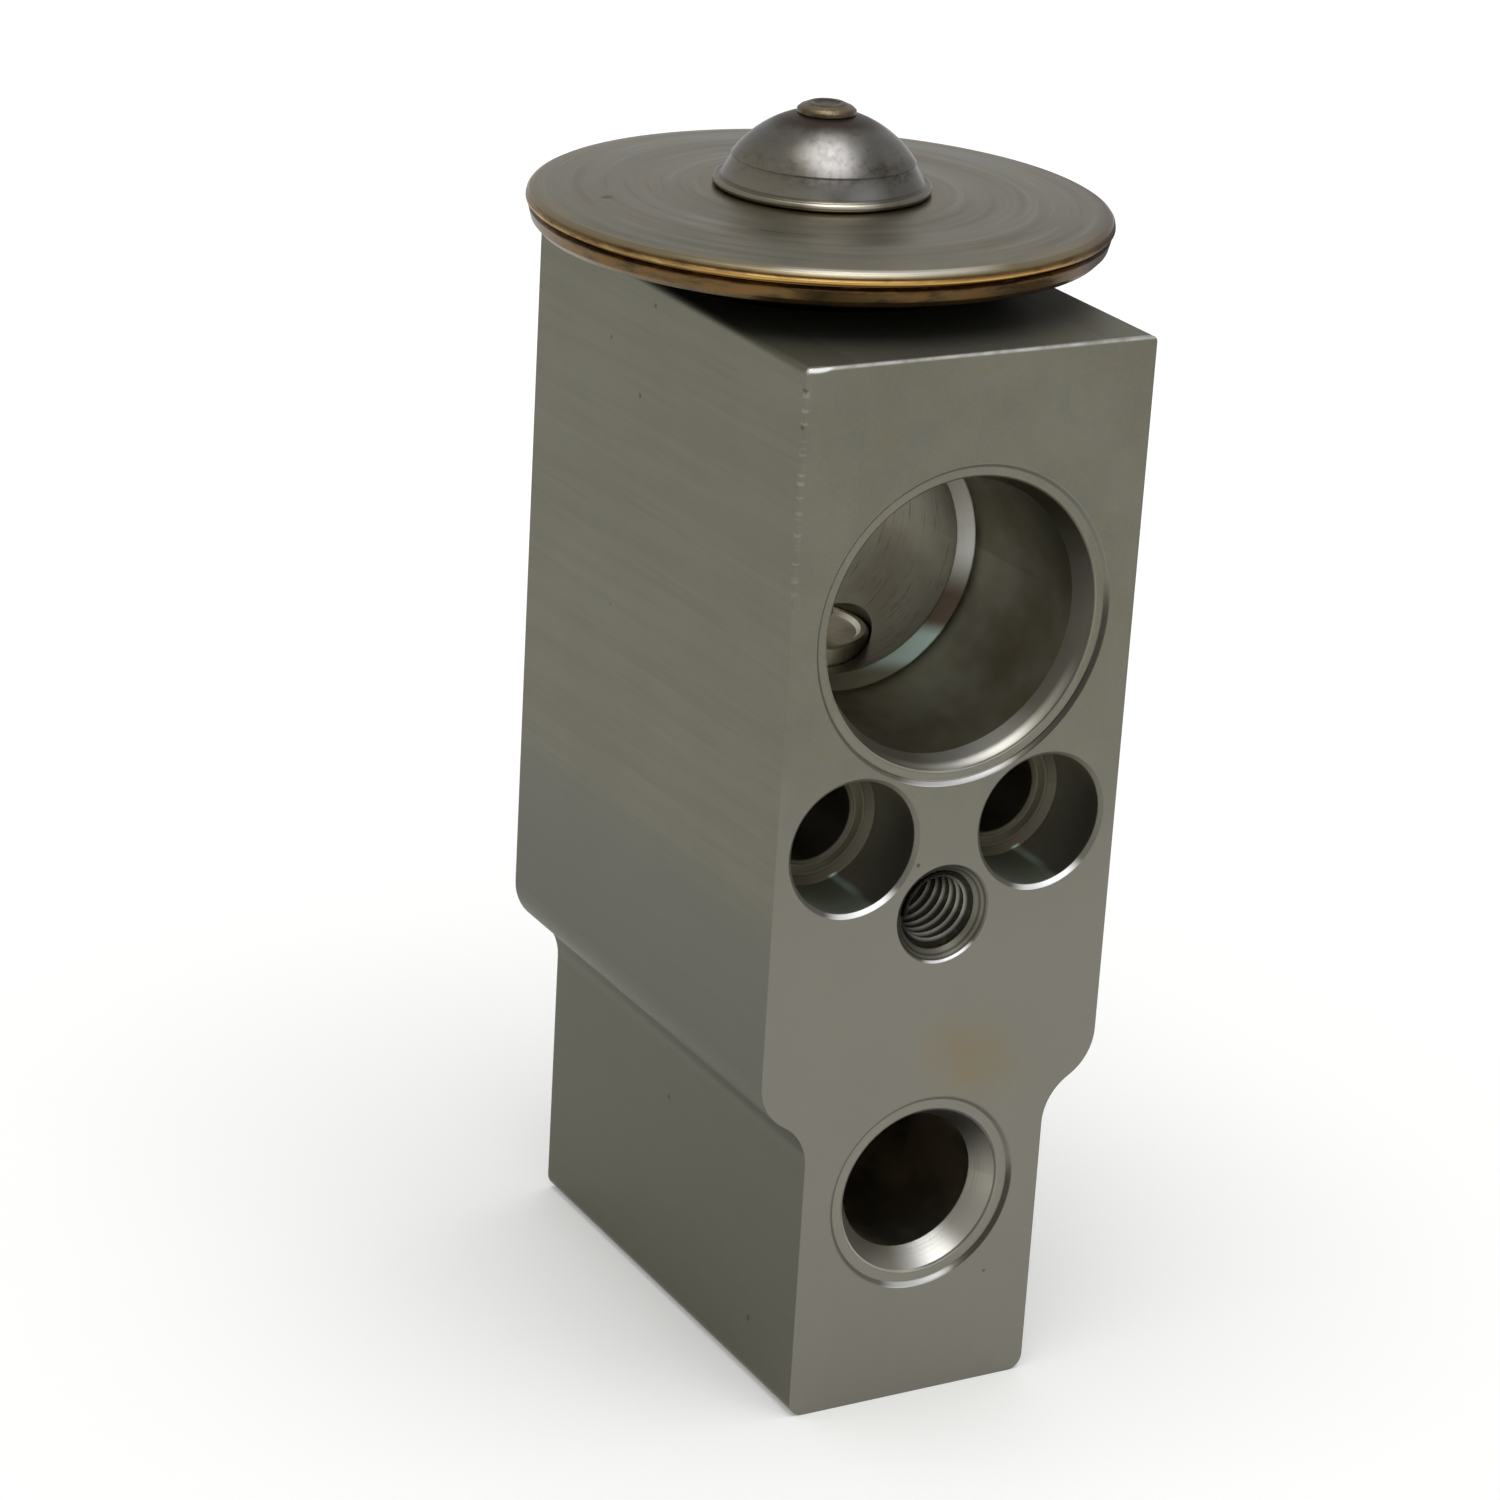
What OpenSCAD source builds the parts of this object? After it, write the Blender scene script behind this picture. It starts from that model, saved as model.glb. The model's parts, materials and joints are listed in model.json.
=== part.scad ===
// Block-type thermostatic expansion valve of a vehicle air conditioner, in millimetres.
// The origin is where the valve axis meets the plane of the underside, and +Z runs up the valve axis.
// The pipe side looks to -Y and the evaporator side looks to +Y.

/* [Block] */
// Width of the block across the pipe side
block_w = 28; // [26.5:0.5:34]
// Depth of the block from the pipe side to the evaporator side
block_d = 40.6; // [38:0.2:48]
// Height of the block
block_h = 80.5; // [79:0.5:90]
// Width of the narrow foot
foot_w = 20; // [18:0.5:23]
// Height at which the foot starts to widen
shoulder_z = 20.5; // [12:0.5:24]
// Height over which each shoulder sweeps out to the full width
shoulder_rise = 7; // [5:0.5:10]
// Radius on the two lower edges of the foot
foot_edge_r = 1.2; // [0.4:0.1:2]
// Radius on the two upper side edges
crown_edge_r = 0.5; // [0.3:0.1:1]
// Distance of the valve axis behind the pipe side
axis_depth = 23.75; // [22:0.25:26]

/* [Suction line] */
// Height of the suction line above the underside
suction_z = 60.6; // [60:0.2:62]
// Diameter of both suction port mouths
suction_mouth_d = 21.8; // [21:0.1:22.4]
// Depth of the tapered seal seat in each suction port
suction_seat_depth = 2; // [0.8:0.1:2.5]
// Diameter of the straight suction port bores
suction_bore_d = 20.4; // [19.5:0.1:20.8]
// Depth of the suction outlet port in the pipe side
suction_out_depth = 15.6; // [13:0.2:17]
// Depth of the suction inlet port in the evaporator side
suction_in_depth = 9; // [7:0.2:11]
// Diameter of the passage that joins the two suction ports
suction_passage_d = 18.4; // [17:0.2:19]
// Diameter of the turned face mark around each suction port
suction_mark_d = 23.1; // [22.6:0.1:24]

/* [Liquid line] */
// Height of the liquid inlet in the pipe side
liquid_in_z = 16.6; // [15.5:0.1:17.5]
// Height of the liquid outlet in the evaporator side
liquid_out_z = 33; // [32.5:0.1:34]
// Diameter of both liquid port mouths
liquid_mouth_d = 13.1; // [12.4:0.1:13.4]
// Depth of the tapered seal seat in each liquid port
liquid_seat_depth = 2; // [1:0.1:3]
// Diameter of the straight liquid port bores
liquid_bore_d = 10.7; // [10.2:0.1:11.6]
// Depth of the liquid inlet port in the pipe side
liquid_in_depth = 14.6; // [9:0.2:14.6]
// Depth of the liquid outlet port in the evaporator side
liquid_out_depth = 9.6; // [8:0.2:10]
// Diameter of the drilled passages behind the liquid ports
liquid_passage_d = 6.4; // [5:0.1:7]
// Diameter of the turned face mark around each liquid port
liquid_mark_d = 14.7; // [14:0.1:16]
// Depth of the turned face marks around all four ports
face_mark_depth = 0.25; // [0.05:0.01:0.3]
// Width of the slope round each turned face mark
face_mark_slope = 0.3; // [0.1:0.05:0.4]
// Width of the bevel that breaks the mouth of each port
mouth_break = 0.1; // [0.05:0.05:0.4]

/* [Fixing holes] */
// Height of the two through holes for the fixing bolts
bolt_z = 44.9; // [44.6:0.1:45.2]
// Distance between the two bolt holes
bolt_spacing = 15.4; // [15.2:0.1:16.4]
// Diameter of the bolt holes
bolt_hole_d = 6.8; // [6.2:0.1:7]
// Diameter of the counterbores for the bolt heads
bolt_head_d = 10; // [9:0.1:10.4]
// Depth of the counterbores for the bolt heads
bolt_head_depth = 6.5; // [5:0.1:9]
// Width of the bevel on the counterbore edges and floors
bolt_bevel = 0.3; // [0.1:0.05:0.5]
// Width of the sloped corner between a counterbore's wall and its floor
bolt_corner = 0.6; // [0.2:0.1:0.9]
// Height of the threaded hole for the pipe plate
stud_z = 38.8; // [38.4:0.1:39.2]
// Thread diameter of the hole for the pipe plate
stud_d = 6; // [5:0.5:6]
// Depth of the thread
stud_depth = 13; // [10:0.5:15]
// Diameter of the countersink at the mouth of the thread
stud_sink_d = 7.6; // [7:0.1:8.2]
// Diameter of the tapping drill
stud_drill_d = 5; // [4:0.1:5]
// Length that the tapping drill runs on past the thread
stud_drill_extra = 2.5; // [1:0.5:3]

/* [Valve bore] */
// Diameter of the spring chamber
chamber_d = 12.6; // [12.4:0.1:13]
// Height of the chamber ceiling above the underside
chamber_top = 24.5; // [24:0.1:25.5]
// Depth of the conical valve seat in the chamber ceiling
seat_cone_h = 1.2; // [1:0.1:1.4]
// Diameter of the metering orifice
orifice_d = 4.8; // [4.4:0.1:4.9]
// Diameter of the valve ball
ball_d = 7; // [6.8:0.1:7.4]
// Distance that the ball lifts off the seat when the valve is fully open
stroke = 0.7; // [0.4:0.05:0.8]

/* [Ball carrier and springs] */
// Diameter of the carrier flange
carrier_d = 10; // [9.6:0.1:10.6]
// Thickness of the carrier flange
carrier_h = 1.8; // [1.4:0.1:2.2]
// Length of the carrier stem inside the spring
carrier_stem_h = 3; // [2:0.1:3.4]
// Wire diameter of the superheat spring
spring_wire_d = 1.3; // [1:0.05:1.4]
// Outside diameter of the superheat spring
spring_od = 10; // [9.6:0.1:10.4]
// Number of turns of the superheat spring with its closed ends
spring_turns = 6.5; // [5:0.5:7]
// Sheet thickness of the anti-vibration spring
damper_t = 0.3; // [0.2:0.05:0.4]
// Width of each leg of the anti-vibration spring
damper_leg_w = 3; // [2:0.1:4]
// Height of each leg of the anti-vibration spring
damper_leg_h = 2.8; // [1.5:0.1:3.2]

/* [Adjusting screw] */
// Thread diameter of the adjusting screw
adjuster_d = 14; // [13.8:0.1:14.6]
// Height of the screw's lower end above the underside
adjuster_z = 1.4; // [1.2:0.1:2]
// Length of the screw without its spigot
adjuster_h = 6.2; // [6:0.1:7]
// Distance that the screw travels either way from its set position
adjuster_travel = 1; // [0.5:0.1:1]
// Width across the flats of the hexagon socket
socket_af = 6; // [5:0.1:7]
// Depth of the hexagon socket
socket_depth = 2.6; // [2:0.1:2.8]
// Cord diameter of the adjusting screw's seal ring
adjuster_ring_cord = 1.6; // [1.4:0.1:1.8]
// Height of the spigot that centres the spring
spigot_h = 2; // [1:0.1:2.4]

/* [Push rod and its seal] */
// Diameter of the push rod
push_rod_d = 2.8; // [2.4:0.1:3.2]
// Depth that the push rod is pressed into the sensing rod
push_rod_grip = 8; // [4:0.5:14]
// Cord diameter of the rod seal
rod_seal_cord = 1.8; // [1.5:0.1:1.9]
// Depth of the rod seal retainer's seat below the floor of the suction passage
retainer_seat_drop = 0.8; // [0.6:0.1:1.2]
// Diameter of the rod seal retainer
retainer_d = 11.1; // [10:0.1:11.6]
// Thickness of the rod seal retainer
retainer_h = 2.2; // [1.6:0.1:2.4]
// Bevel on the upper edge of the rod seal retainer
retainer_bevel = 0.2; // [0.1:0.1:0.8]
// Depth of the dished top of the rod seal retainer
retainer_dish = 0.3; // [0.1:0.05:0.5]
// Width of the rim round the dished top of the rod seal retainer
retainer_rim_w = 0.6; // [0.4:0.1:1]
// Diameter of the temperature sensing rod in the suction line
sensing_rod_d = 5.6; // [5:0.1:6.5]

/* [Power element] */
// Diameter of the two covers
head_d = 42.6; // [41.6:0.2:46]
// Height of the underside of the cover rim above the block
rim_lift = 2.5; // [2.2:0.1:3.2]
// Thickness of the lower cover at its rim
lower_rim_t = 1.45; // [1:0.05:1.6]
// Distance of the lower rim inside the upper one
lower_rim_inset = 0.2; // [0:0.05:0.3]
// Thickness of the lower cover where it seats on the block
lower_t = 1.5; // [1.2:0.05:1.7]
// Sheet thickness of the upper cover
upper_t = 0.9; // [0.6:0.05:1]
// Thickness of the diaphragm
diaphragm_t = 0.2; // [0.1:0.05:0.25]
// Thread diameter of the neck on the lower cover
neck_d = 20; // [19.5:0.1:20.4]
// Length of the neck inside the block
neck_h = 8; // [6:0.2:8.4]
// Wall of the neck
neck_wall = 1.8; // [1.2:0.1:2.2]
// Cord diameter of the neck's seal ring
neck_ring_cord = 1.4; // [1.2:0.05:1.5]
// Diameter of the follower under the diaphragm
follower_d = 21.6; // [20:0.2:22.4]
// Thickness of the follower
follower_h = 1.7; // [1.5:0.05:1.7]
// Height that the upper cover swells from its rim to the dome
cover_swell = 0.75; // [0.4:0.05:1.2]
// Depth of the pressed rings in the upper cover
cover_ripple = 0.07; // [0.02:0.01:0.12]

/* [Charge dome] */
// Radius of the round part of the dome
dome_r = 8.15; // [7.4:0.05:8.4]
// Height of the dome's centre of curvature above the block
dome_centre_lift = 3.3; // [3.2:0.05:3.7]
// Radius of the lip at the foot of the dome
dome_lip_r = 7.95; // [7.9:0.05:9]
// Height of the skirt between the lip and the round part
dome_skirt_h = 1.55; // [1:0.05:2.2]
// Depth of the crease between the skirt and the round part
dome_crease = 0.12; // [0.05:0.01:0.2]
// Sheet thickness of the dome
dome_t = 0.9; // [0.6:0.05:1.2]
// Diameter of the closing plug's head
plug_d = 4.3; // [3.8:0.1:5.2]
// Thickness of the closing plug's head
plug_h = 0.8; // [0.7:0.1:1.5]
// Diameter of the filling hole under the plug
fill_hole_d = 1.6; // [1.2:0.1:2.2]

/* [Hidden] */
$fn = 96;

// Clearances: between parts that stay put, between a shaft and its bore, and of a part on its seat
fit_gap = 0.05;
running_gap = 0.04;
seat_gap = 0.05;
// Amount by which a cutter runs past the face it opens
over = 1;
// Play of the stem and the spigot inside the spring, of the retainer in its recess, of the neck's seal ring
// on either side, and of the adjusting screw's seal ring along its groove
spring_play = 0.25;
retainer_play = 0.25;
neck_ring_play = 0.2;
groove_play = 0.3;
// Bevels: on turned edges, on pressed edges and at the start of a thread
turned_bevel = 0.5;
pressed_bevel = 0.25;
thread_bevel = 0.8;

// Planes of the two ported faces
pipe_face_y = -axis_depth;
evaporator_face_y = block_d - axis_depth;
// Rounding radius and middle of the shoulder curve, from its width and its rise
shoulder_run = (block_w - foot_w) / 2;
shoulder_r = (shoulder_run ^ 2 + shoulder_rise ^ 2) / (4 * shoulder_run);
shoulder_mid_x = foot_w / 2 + shoulder_run / 2;
shoulder_mid_z = shoulder_z + shoulder_rise / 2;

// Valve seat and ball: the ball rests on the cone, or on the orifice edge where the orifice is wider
seat_z = chamber_top + seat_cone_h;
orifice_r = orifice_d / 2;
ball_r = ball_d / 2;
ball_on_cone = ball_r / sqrt(2) >= orifice_r;
ball_closed_z = ball_on_cone
    ? seat_z + orifice_r - ball_r * sqrt(2)
    : seat_z - sqrt(ball_r ^ 2 - orifice_r ^ 2);
ball_z = ball_closed_z - stroke - seat_gap;

// Carrier: the cup holds the ball on a 90 degree cone that runs on a little past the contact
cup_lip = 0.5;
cup_contact = ball_r / sqrt(2);
cup_rim_r = cup_contact + cup_lip;
carrier_top = ball_z - cup_contact + cup_lip;
carrier_bottom = carrier_top - carrier_h;
spring_inner_r = spring_od / 2 - spring_wire_d;
stem_r = spring_inner_r - spring_play;

// Adjusting screw and its seal ring; the bore runs on above the screw at its highest setting
adjuster_bore_spare = 0.6;
adjuster_land_h = 0.7;
adjuster_r = adjuster_d / 2;
adjuster_top = adjuster_z + adjuster_h;
adjuster_bore_top = adjuster_top + adjuster_travel + adjuster_bore_spare;
adjuster_ring_r = adjuster_r - fit_gap - adjuster_ring_cord / 2;
adjuster_groove_r = adjuster_ring_r - adjuster_ring_cord / 2 - fit_gap;
adjuster_groove_h = adjuster_ring_cord + groove_play;
adjuster_groove_top = adjuster_top - adjuster_land_h;

// Push rod, its seal and the retainer; the sensing rod stops short of the retainer
sensing_rod_lift = 0.7;
retainer_seat_z = suction_z - suction_passage_d / 2 - retainer_seat_drop;
push_rod_r = push_rod_d / 2;
rod_seal_r = push_rod_r + running_gap + rod_seal_cord / 2;
seal_pocket_r = rod_seal_r + rod_seal_cord / 2 + fit_gap;
seal_pocket_z = retainer_seat_z - rod_seal_cord - 2 * fit_gap;
retainer_top = retainer_seat_z + retainer_h;
retainer_recess_d = retainer_d + 2 * retainer_play;
sensing_rod_bottom = retainer_top + sensing_rod_lift;
push_rod_bottom = ball_z + ball_r;

// Power element, from the block's top upwards: neck, seat flange, rim with its weld land, follower, diaphragm
neck_bore_spare = 1;
seat_flange_w = 1.1;
rim_land = 2.3;
land_bend = 0.6;
floor_margin = 1.4;
follower_lap = 0.5;
follower_socket_depth = 0.9;
weld_inset = 0.5;
neck_r = neck_d / 2;
neck_bore_r = neck_r - neck_wall;
neck_bore_depth = neck_h + neck_bore_spare;
neck_ring_r = neck_r + fit_gap + neck_ring_cord / 2 + neck_ring_play;
neck_recess_r = neck_ring_r + neck_ring_cord / 2 + neck_ring_play;
seat_flange_r = neck_recess_r + seat_flange_w;
gas_bore_d = 2 * neck_bore_r;
head_r = head_d / 2;
rim_under = block_h + rim_lift;
rim_split = rim_under + lower_rim_t;
lower_land_r = head_r - rim_land;
cover_floor = block_h + lower_t;
follower_r = follower_d / 2;
follower_bottom = cover_floor + seat_gap;
follower_top = follower_bottom + follower_h;
sensing_rod_top = follower_bottom + follower_socket_depth;
diaphragm_edge_r = head_r - weld_inset;
diaphragm_dip = rim_split - follower_top - seat_gap;
upper_rim_top = rim_split + diaphragm_t + upper_t;

// Charge dome and plug
dome_centre_z = block_h + dome_centre_lift;
dome_lip_z = upper_rim_top + cover_swell;
dome_lip_cord = 0.6;
skirt_base_z = dome_lip_z + dome_lip_cord;
skirt_top_z = skirt_base_z + dome_skirt_h;
skirt_top_r = sqrt(dome_r ^ 2 - (skirt_top_z - dome_centre_z) ^ 2);
plug_seat_z = dome_centre_z + sqrt(dome_r ^ 2 - (plug_d / 2) ^ 2);

// Height of the upper cover's outer surface at radius r: a low swell with pressed rings
function cover_z(r) = upper_rim_top + cover_swell * (1 - (r / head_r) ^ 2)
    + cover_ripple * sin(r / head_r * 360 * 3) * (1 - (r / head_r) ^ 4);

// Height of the diaphragm's lower surface at radius r: flat on the follower, flat at the rim
function diaphragm_z(r) =
    let(inner = follower_r + follower_lap, outer = lower_land_r - land_bend)
    let(t = (r - inner) / (outer - inner))
    rim_split - (t <= 0 ? diaphragm_dip : t >= 1 ? 0 : diaphragm_dip * (1 + cos(180 * t)) / 2);

// Turns a pipe-side cutter so that its own Z runs into the block from the pipe side
module from_pipe_side(z, x = 0) {
    translate([x, pipe_face_y, z]) rotate([-90, 0, 0]) children();
}

// Turns an evaporator-side cutter so that its own Z runs into the block from that side
module from_evaporator_side(z, x = 0) {
    translate([x, evaporator_face_y, z]) rotate([90, 0, 0]) children();
}

// Outline of the extruded bar, seen from the pipe side: wide head, swept shoulders, narrow foot
module block_outline() {
    difference() {
        translate([-block_w / 2, 0]) square([block_w, block_h]);
        for (side = [0, 1]) mirror([side, 0]) {
            translate([foot_w / 2, -over]) square([block_w, shoulder_z + over]);
            shoulder_hollow();
            shoulder_round();
            edge_rounding(foot_w / 2, 0, foot_edge_r, 1);
            edge_rounding(block_w / 2, block_h, crown_edge_r, -1);
        }
    }
}

// Lower, hollow half of the shoulder curve
module shoulder_hollow() {
    centre_x = foot_w / 2 + shoulder_r;
    intersection() {
        union() {
            translate([centre_x, shoulder_z]) circle(r = shoulder_r);
            translate([centre_x, shoulder_z]) square([block_w, shoulder_rise]);
        }
        translate([foot_w / 2, shoulder_z]) square([block_w, shoulder_rise / 2]);
    }
}

// Upper, round half of the shoulder curve
module shoulder_round() {
    difference() {
        translate([shoulder_mid_x, shoulder_mid_z]) square([block_w, shoulder_rise / 2]);
        translate([block_w / 2 - shoulder_r, shoulder_z + shoulder_rise]) circle(r = shoulder_r);
    }
}

// Waste outside a rounded edge; up is 1 at a lower edge and -1 at an upper one
module edge_rounding(x, z, r, up) {
    translate([x - r, z + up * r]) scale([1, -up]) difference() {
        square([r + over, r + over]);
        circle(r = r);
    }
}

// Cutter for a port: face mark, bevelled mouth, tapered seal seat, straight bore, and the step to the passage
module port_cut(mark_d, mouth_d, seat_depth, bore_d, depth, passage_d) {
    cylinder(h = face_mark_depth, d1 = mark_d + 2 * face_mark_slope, d2 = mark_d);
    translate([0, 0, -over]) cylinder(h = over + face_mark_depth, d = mouth_d);
    translate([0, 0, face_mark_depth])
        cylinder(h = mouth_break, d1 = mouth_d + 2 * mouth_break, d2 = mouth_d);
    translate([0, 0, face_mark_depth]) cylinder(h = seat_depth, d1 = mouth_d, d2 = bore_d);
    cylinder(h = depth, d = bore_d);
    translate([0, 0, depth]) cylinder(h = (bore_d - passage_d) / 2, d1 = bore_d, d2 = passage_d);
}

// Cutters for the suction line and its two ports
module suction_cut() {
    step = (suction_bore_d - suction_passage_d) / 2;
    from_pipe_side(suction_z)
        port_cut(suction_mark_d, suction_mouth_d, suction_seat_depth, suction_bore_d, suction_out_depth,
            suction_passage_d);
    from_evaporator_side(suction_z)
        port_cut(suction_mark_d, suction_mouth_d, suction_seat_depth, suction_bore_d, suction_in_depth,
            suction_passage_d);
    from_pipe_side(suction_z) translate([0, 0, suction_out_depth + step / 2])
        cylinder(h = block_d - suction_out_depth - suction_in_depth - step, d = suction_passage_d);
}

// Cutters for the liquid inlet, which opens into the spring chamber, and the outlet above the seat
module liquid_cut() {
    from_pipe_side(liquid_in_z) {
        port_cut(liquid_mark_d, liquid_mouth_d, liquid_seat_depth, liquid_bore_d, liquid_in_depth,
            liquid_passage_d);
        cylinder(h = axis_depth, d = liquid_passage_d);
    }
    from_evaporator_side(liquid_out_z) {
        port_cut(liquid_mark_d, liquid_mouth_d, liquid_seat_depth, liquid_bore_d, liquid_out_depth,
            liquid_passage_d);
        cylinder(h = evaporator_face_y, d = liquid_passage_d);
    }
    translate([0, 0, liquid_out_z]) sphere(d = liquid_passage_d);
}

// Cutters for the two bolt holes and the threaded hole of the pipe plate
module fixing_cut() {
    for (x = [-bolt_spacing / 2, bolt_spacing / 2]) from_pipe_side(bolt_z, x) {
        translate([0, 0, -over]) cylinder(h = block_d + 2 * over, d = bolt_hole_d);
        translate([0, 0, -over]) cylinder(h = over + bolt_head_depth - bolt_corner, d = bolt_head_d);
        translate([0, 0, bolt_head_depth - bolt_corner])
            cylinder(h = bolt_corner, d1 = bolt_head_d, d2 = bolt_head_d - 2 * bolt_corner);
        cylinder(h = bolt_bevel, d1 = bolt_head_d + 2 * bolt_bevel, d2 = bolt_head_d);
        translate([0, 0, bolt_head_depth])
            cylinder(h = bolt_bevel, d1 = bolt_hole_d + 2 * bolt_bevel, d2 = bolt_hole_d);
    }
    from_pipe_side(stud_z) {
        drill_end = stud_depth + stud_drill_extra;
        translate([0, 0, -over]) cylinder(h = over + stud_depth, d = stud_d);
        cylinder(h = (stud_sink_d - stud_d) / 2, d1 = stud_sink_d, d2 = stud_d);
        cylinder(h = drill_end, d = stud_drill_d);
        translate([0, 0, drill_end]) cylinder(h = stud_drill_d * 0.3, d1 = stud_drill_d, d2 = 0);
    }
}

// Cutters on the valve axis: adjuster bore, spring chamber, seat, orifice, rod guide, seal pocket, neck bore
module axis_cut() {
    translate([0, 0, -over]) cylinder(h = over + adjuster_bore_top, d = adjuster_d);
    translate([0, 0, adjuster_bore_top - over])
        cylinder(h = chamber_top - adjuster_bore_top + over, d = chamber_d);
    translate([0, 0, chamber_top]) cylinder(h = seat_cone_h, r1 = orifice_r + seat_cone_h, r2 = orifice_r);
    translate([0, 0, chamber_top]) cylinder(h = liquid_out_z - chamber_top, r = orifice_r);
    translate([0, 0, liquid_out_z]) cylinder(h = suction_z - liquid_out_z, r = push_rod_r + running_gap);
    translate([0, 0, seal_pocket_z]) cylinder(h = suction_z - seal_pocket_z, r = seal_pocket_r);
    translate([0, 0, retainer_seat_z]) cylinder(h = suction_z - retainer_seat_z, d = retainer_recess_d);
    translate([0, 0, suction_z]) cylinder(h = block_h - suction_z, d = gas_bore_d);
    translate([0, 0, block_h - neck_bore_depth]) cylinder(h = neck_bore_depth + over, r = neck_r + fit_gap);
    translate([0, 0, block_h - neck_ring_cord - fit_gap])
        cylinder(h = neck_ring_cord + fit_gap + over, r = neck_recess_r);
}

// One extruded aluminium bar, sawn to depth and drilled from five sides
module block() {
    color([0.66, 0.65, 0.62]) difference() {
        translate([0, evaporator_face_y, 0]) rotate([90, 0, 0]) linear_extrude(block_d) block_outline();
        suction_cut();
        liquid_cut();
        fixing_cut();
        axis_cut();
    }
}

// Pressed steel lower cover with the threaded neck that screws into the block
module lower_cover() {
    neck_end = block_h - neck_h;
    rim_width = 1.1;
    cone_out_r = head_r - rim_width;
    land_drop = 0.65;
    lip_r = head_r - lower_rim_inset;
    lip_taper = 0.6;
    color([0.6, 0.55, 0.42]) rotate_extrude() polygon([
        [neck_bore_r, neck_end],
        [neck_r - thread_bevel, neck_end],
        [neck_r, neck_end + thread_bevel],
        [neck_r, block_h],
        [seat_flange_r, block_h],
        [seat_flange_r + pressed_bevel, block_h + pressed_bevel],
        [cone_out_r, rim_under],
        [lip_r - lip_taper, rim_under],
        [lip_r - lip_taper / 3, rim_under + lower_rim_t * 0.3],
        [lip_r, rim_split - pressed_bevel],
        [lip_r - pressed_bevel, rim_split],
        [lower_land_r, rim_split],
        [lower_land_r - land_bend, rim_split - land_drop],
        [follower_r + floor_margin, cover_floor],
        [neck_bore_r, cover_floor]
    ]);
}

// Thin diaphragm, clamped and welded between the two rims and pressed down onto the follower
module diaphragm() {
    steps = 40;
    radii = [for (i = [0:steps]) diaphragm_edge_r * i / steps];
    color([0.7, 0.66, 0.5]) rotate_extrude() polygon(concat(
        [for (r = radii) [r, diaphragm_z(r)]],
        [for (i = [steps:-1:0]) [radii[i], diaphragm_z(radii[i]) + diaphragm_t]]
    ));
}

// Pressed steel upper cover: rounded rim, low swell with pressed rings, filling hole in the middle
module upper_cover() {
    steps = 48;
    rim_edge = 0.1;
    rim_flat = 0.1;
    rim_round = upper_t - rim_edge - rim_flat;
    hole_r = fill_hole_d / 2;
    shoulder_r = head_r - 2 * rim_round;
    hollow_r = lower_land_r - land_bend;
    land = rim_split + diaphragm_t;
    top = [for (i = [0:steps]) let(r = hole_r + (shoulder_r - hole_r) * i / steps) [r, cover_z(r)]];
    under = [for (i = [steps:-2:0])
        let(r = hole_r + (hollow_r - hole_r) * i / steps) [r, cover_z(r) - upper_t]];
    color([0.62, 0.6, 0.56]) rotate_extrude() polygon(concat(
        top,
        [for (a = [75:-25:0])
            [head_r - rim_round * (1 - cos(a)), upper_rim_top - rim_round * (1 - sin(a))]],
        [[head_r, land + rim_edge], [head_r - rim_edge, land], [lower_land_r, land]],
        under
    ));
}

// Pressed dome that holds the charge, with a flared skirt and a rolled lip
module charge_dome() {
    lip_r = dome_lip_cord / 2;
    lip_z = dome_lip_z + lip_r;
    skirt_foot_r = dome_lip_r - lip_r;
    color([0.72, 0.72, 0.73]) difference() {
        union() {
            intersection() {
                translate([0, 0, dome_centre_z]) sphere(r = dome_r);
                translate([0, 0, skirt_top_z]) cylinder(h = 2 * dome_r, r = dome_r);
            }
            translate([0, 0, lip_z])
                cylinder(h = skirt_top_z - lip_z, r1 = skirt_foot_r, r2 = skirt_top_r - dome_crease);
            translate([0, 0, dome_lip_z]) cylinder(h = lip_r, r = skirt_foot_r);
            translate([0, 0, lip_z])
                rotate_extrude() translate([skirt_foot_r, 0]) circle(r = lip_r, $fn = 32);
        }
        intersection() {
            translate([0, 0, dome_centre_z]) sphere(r = dome_r - dome_t);
            translate([0, 0, dome_lip_z - over]) cylinder(h = 2 * dome_r, r = dome_r);
        }
        translate([0, 0, dome_centre_z]) cylinder(h = 2 * dome_r, d = fill_hole_d);
    }
}

// Nail-shaped steel plug, welded over the filling hole; its head is hollowed to sit on the dome
module charge_plug() {
    rim_r = plug_d / 2;
    shank_r = fill_hole_d / 2 - fit_gap;
    shank_z = dome_centre_z + dome_r - dome_t - 0.4;
    dent = 0.12;
    color([0.5, 0.43, 0.33]) union() {
        difference() {
            rotate_extrude() polygon([
                [0, plug_seat_z],
                [rim_r, plug_seat_z],
                [rim_r, plug_seat_z + plug_h * 0.4],
                [rim_r * 0.88, plug_seat_z + plug_h * 0.68],
                [rim_r * 0.6, plug_seat_z + plug_h],
                [rim_r * 0.5, plug_seat_z + plug_h],
                [rim_r * 0.35, plug_seat_z + plug_h - dent],
                [0, plug_seat_z + plug_h - dent]
            ]);
            translate([0, 0, dome_centre_z]) sphere(r = dome_r);
        }
        translate([0, 0, shank_z]) cylinder(h = plug_seat_z + plug_h / 2 - shank_z, r = shank_r);
    }
}

// Rubber ring of a given cord diameter, lying round the valve axis
module o_ring(z, mean_r, cord) {
    color([0.12, 0.13, 0.12]) translate([0, 0, z]) rotate_extrude()
        translate([mean_r, 0]) circle(d = cord, $fn = 48);
}

// Seal ring under the lower cover, in the recess at the top of the block
module neck_o_ring() {
    o_ring(block_h - neck_ring_cord / 2 - fit_gap / 2, neck_ring_r, neck_ring_cord - fit_gap / 2);
}

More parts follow.
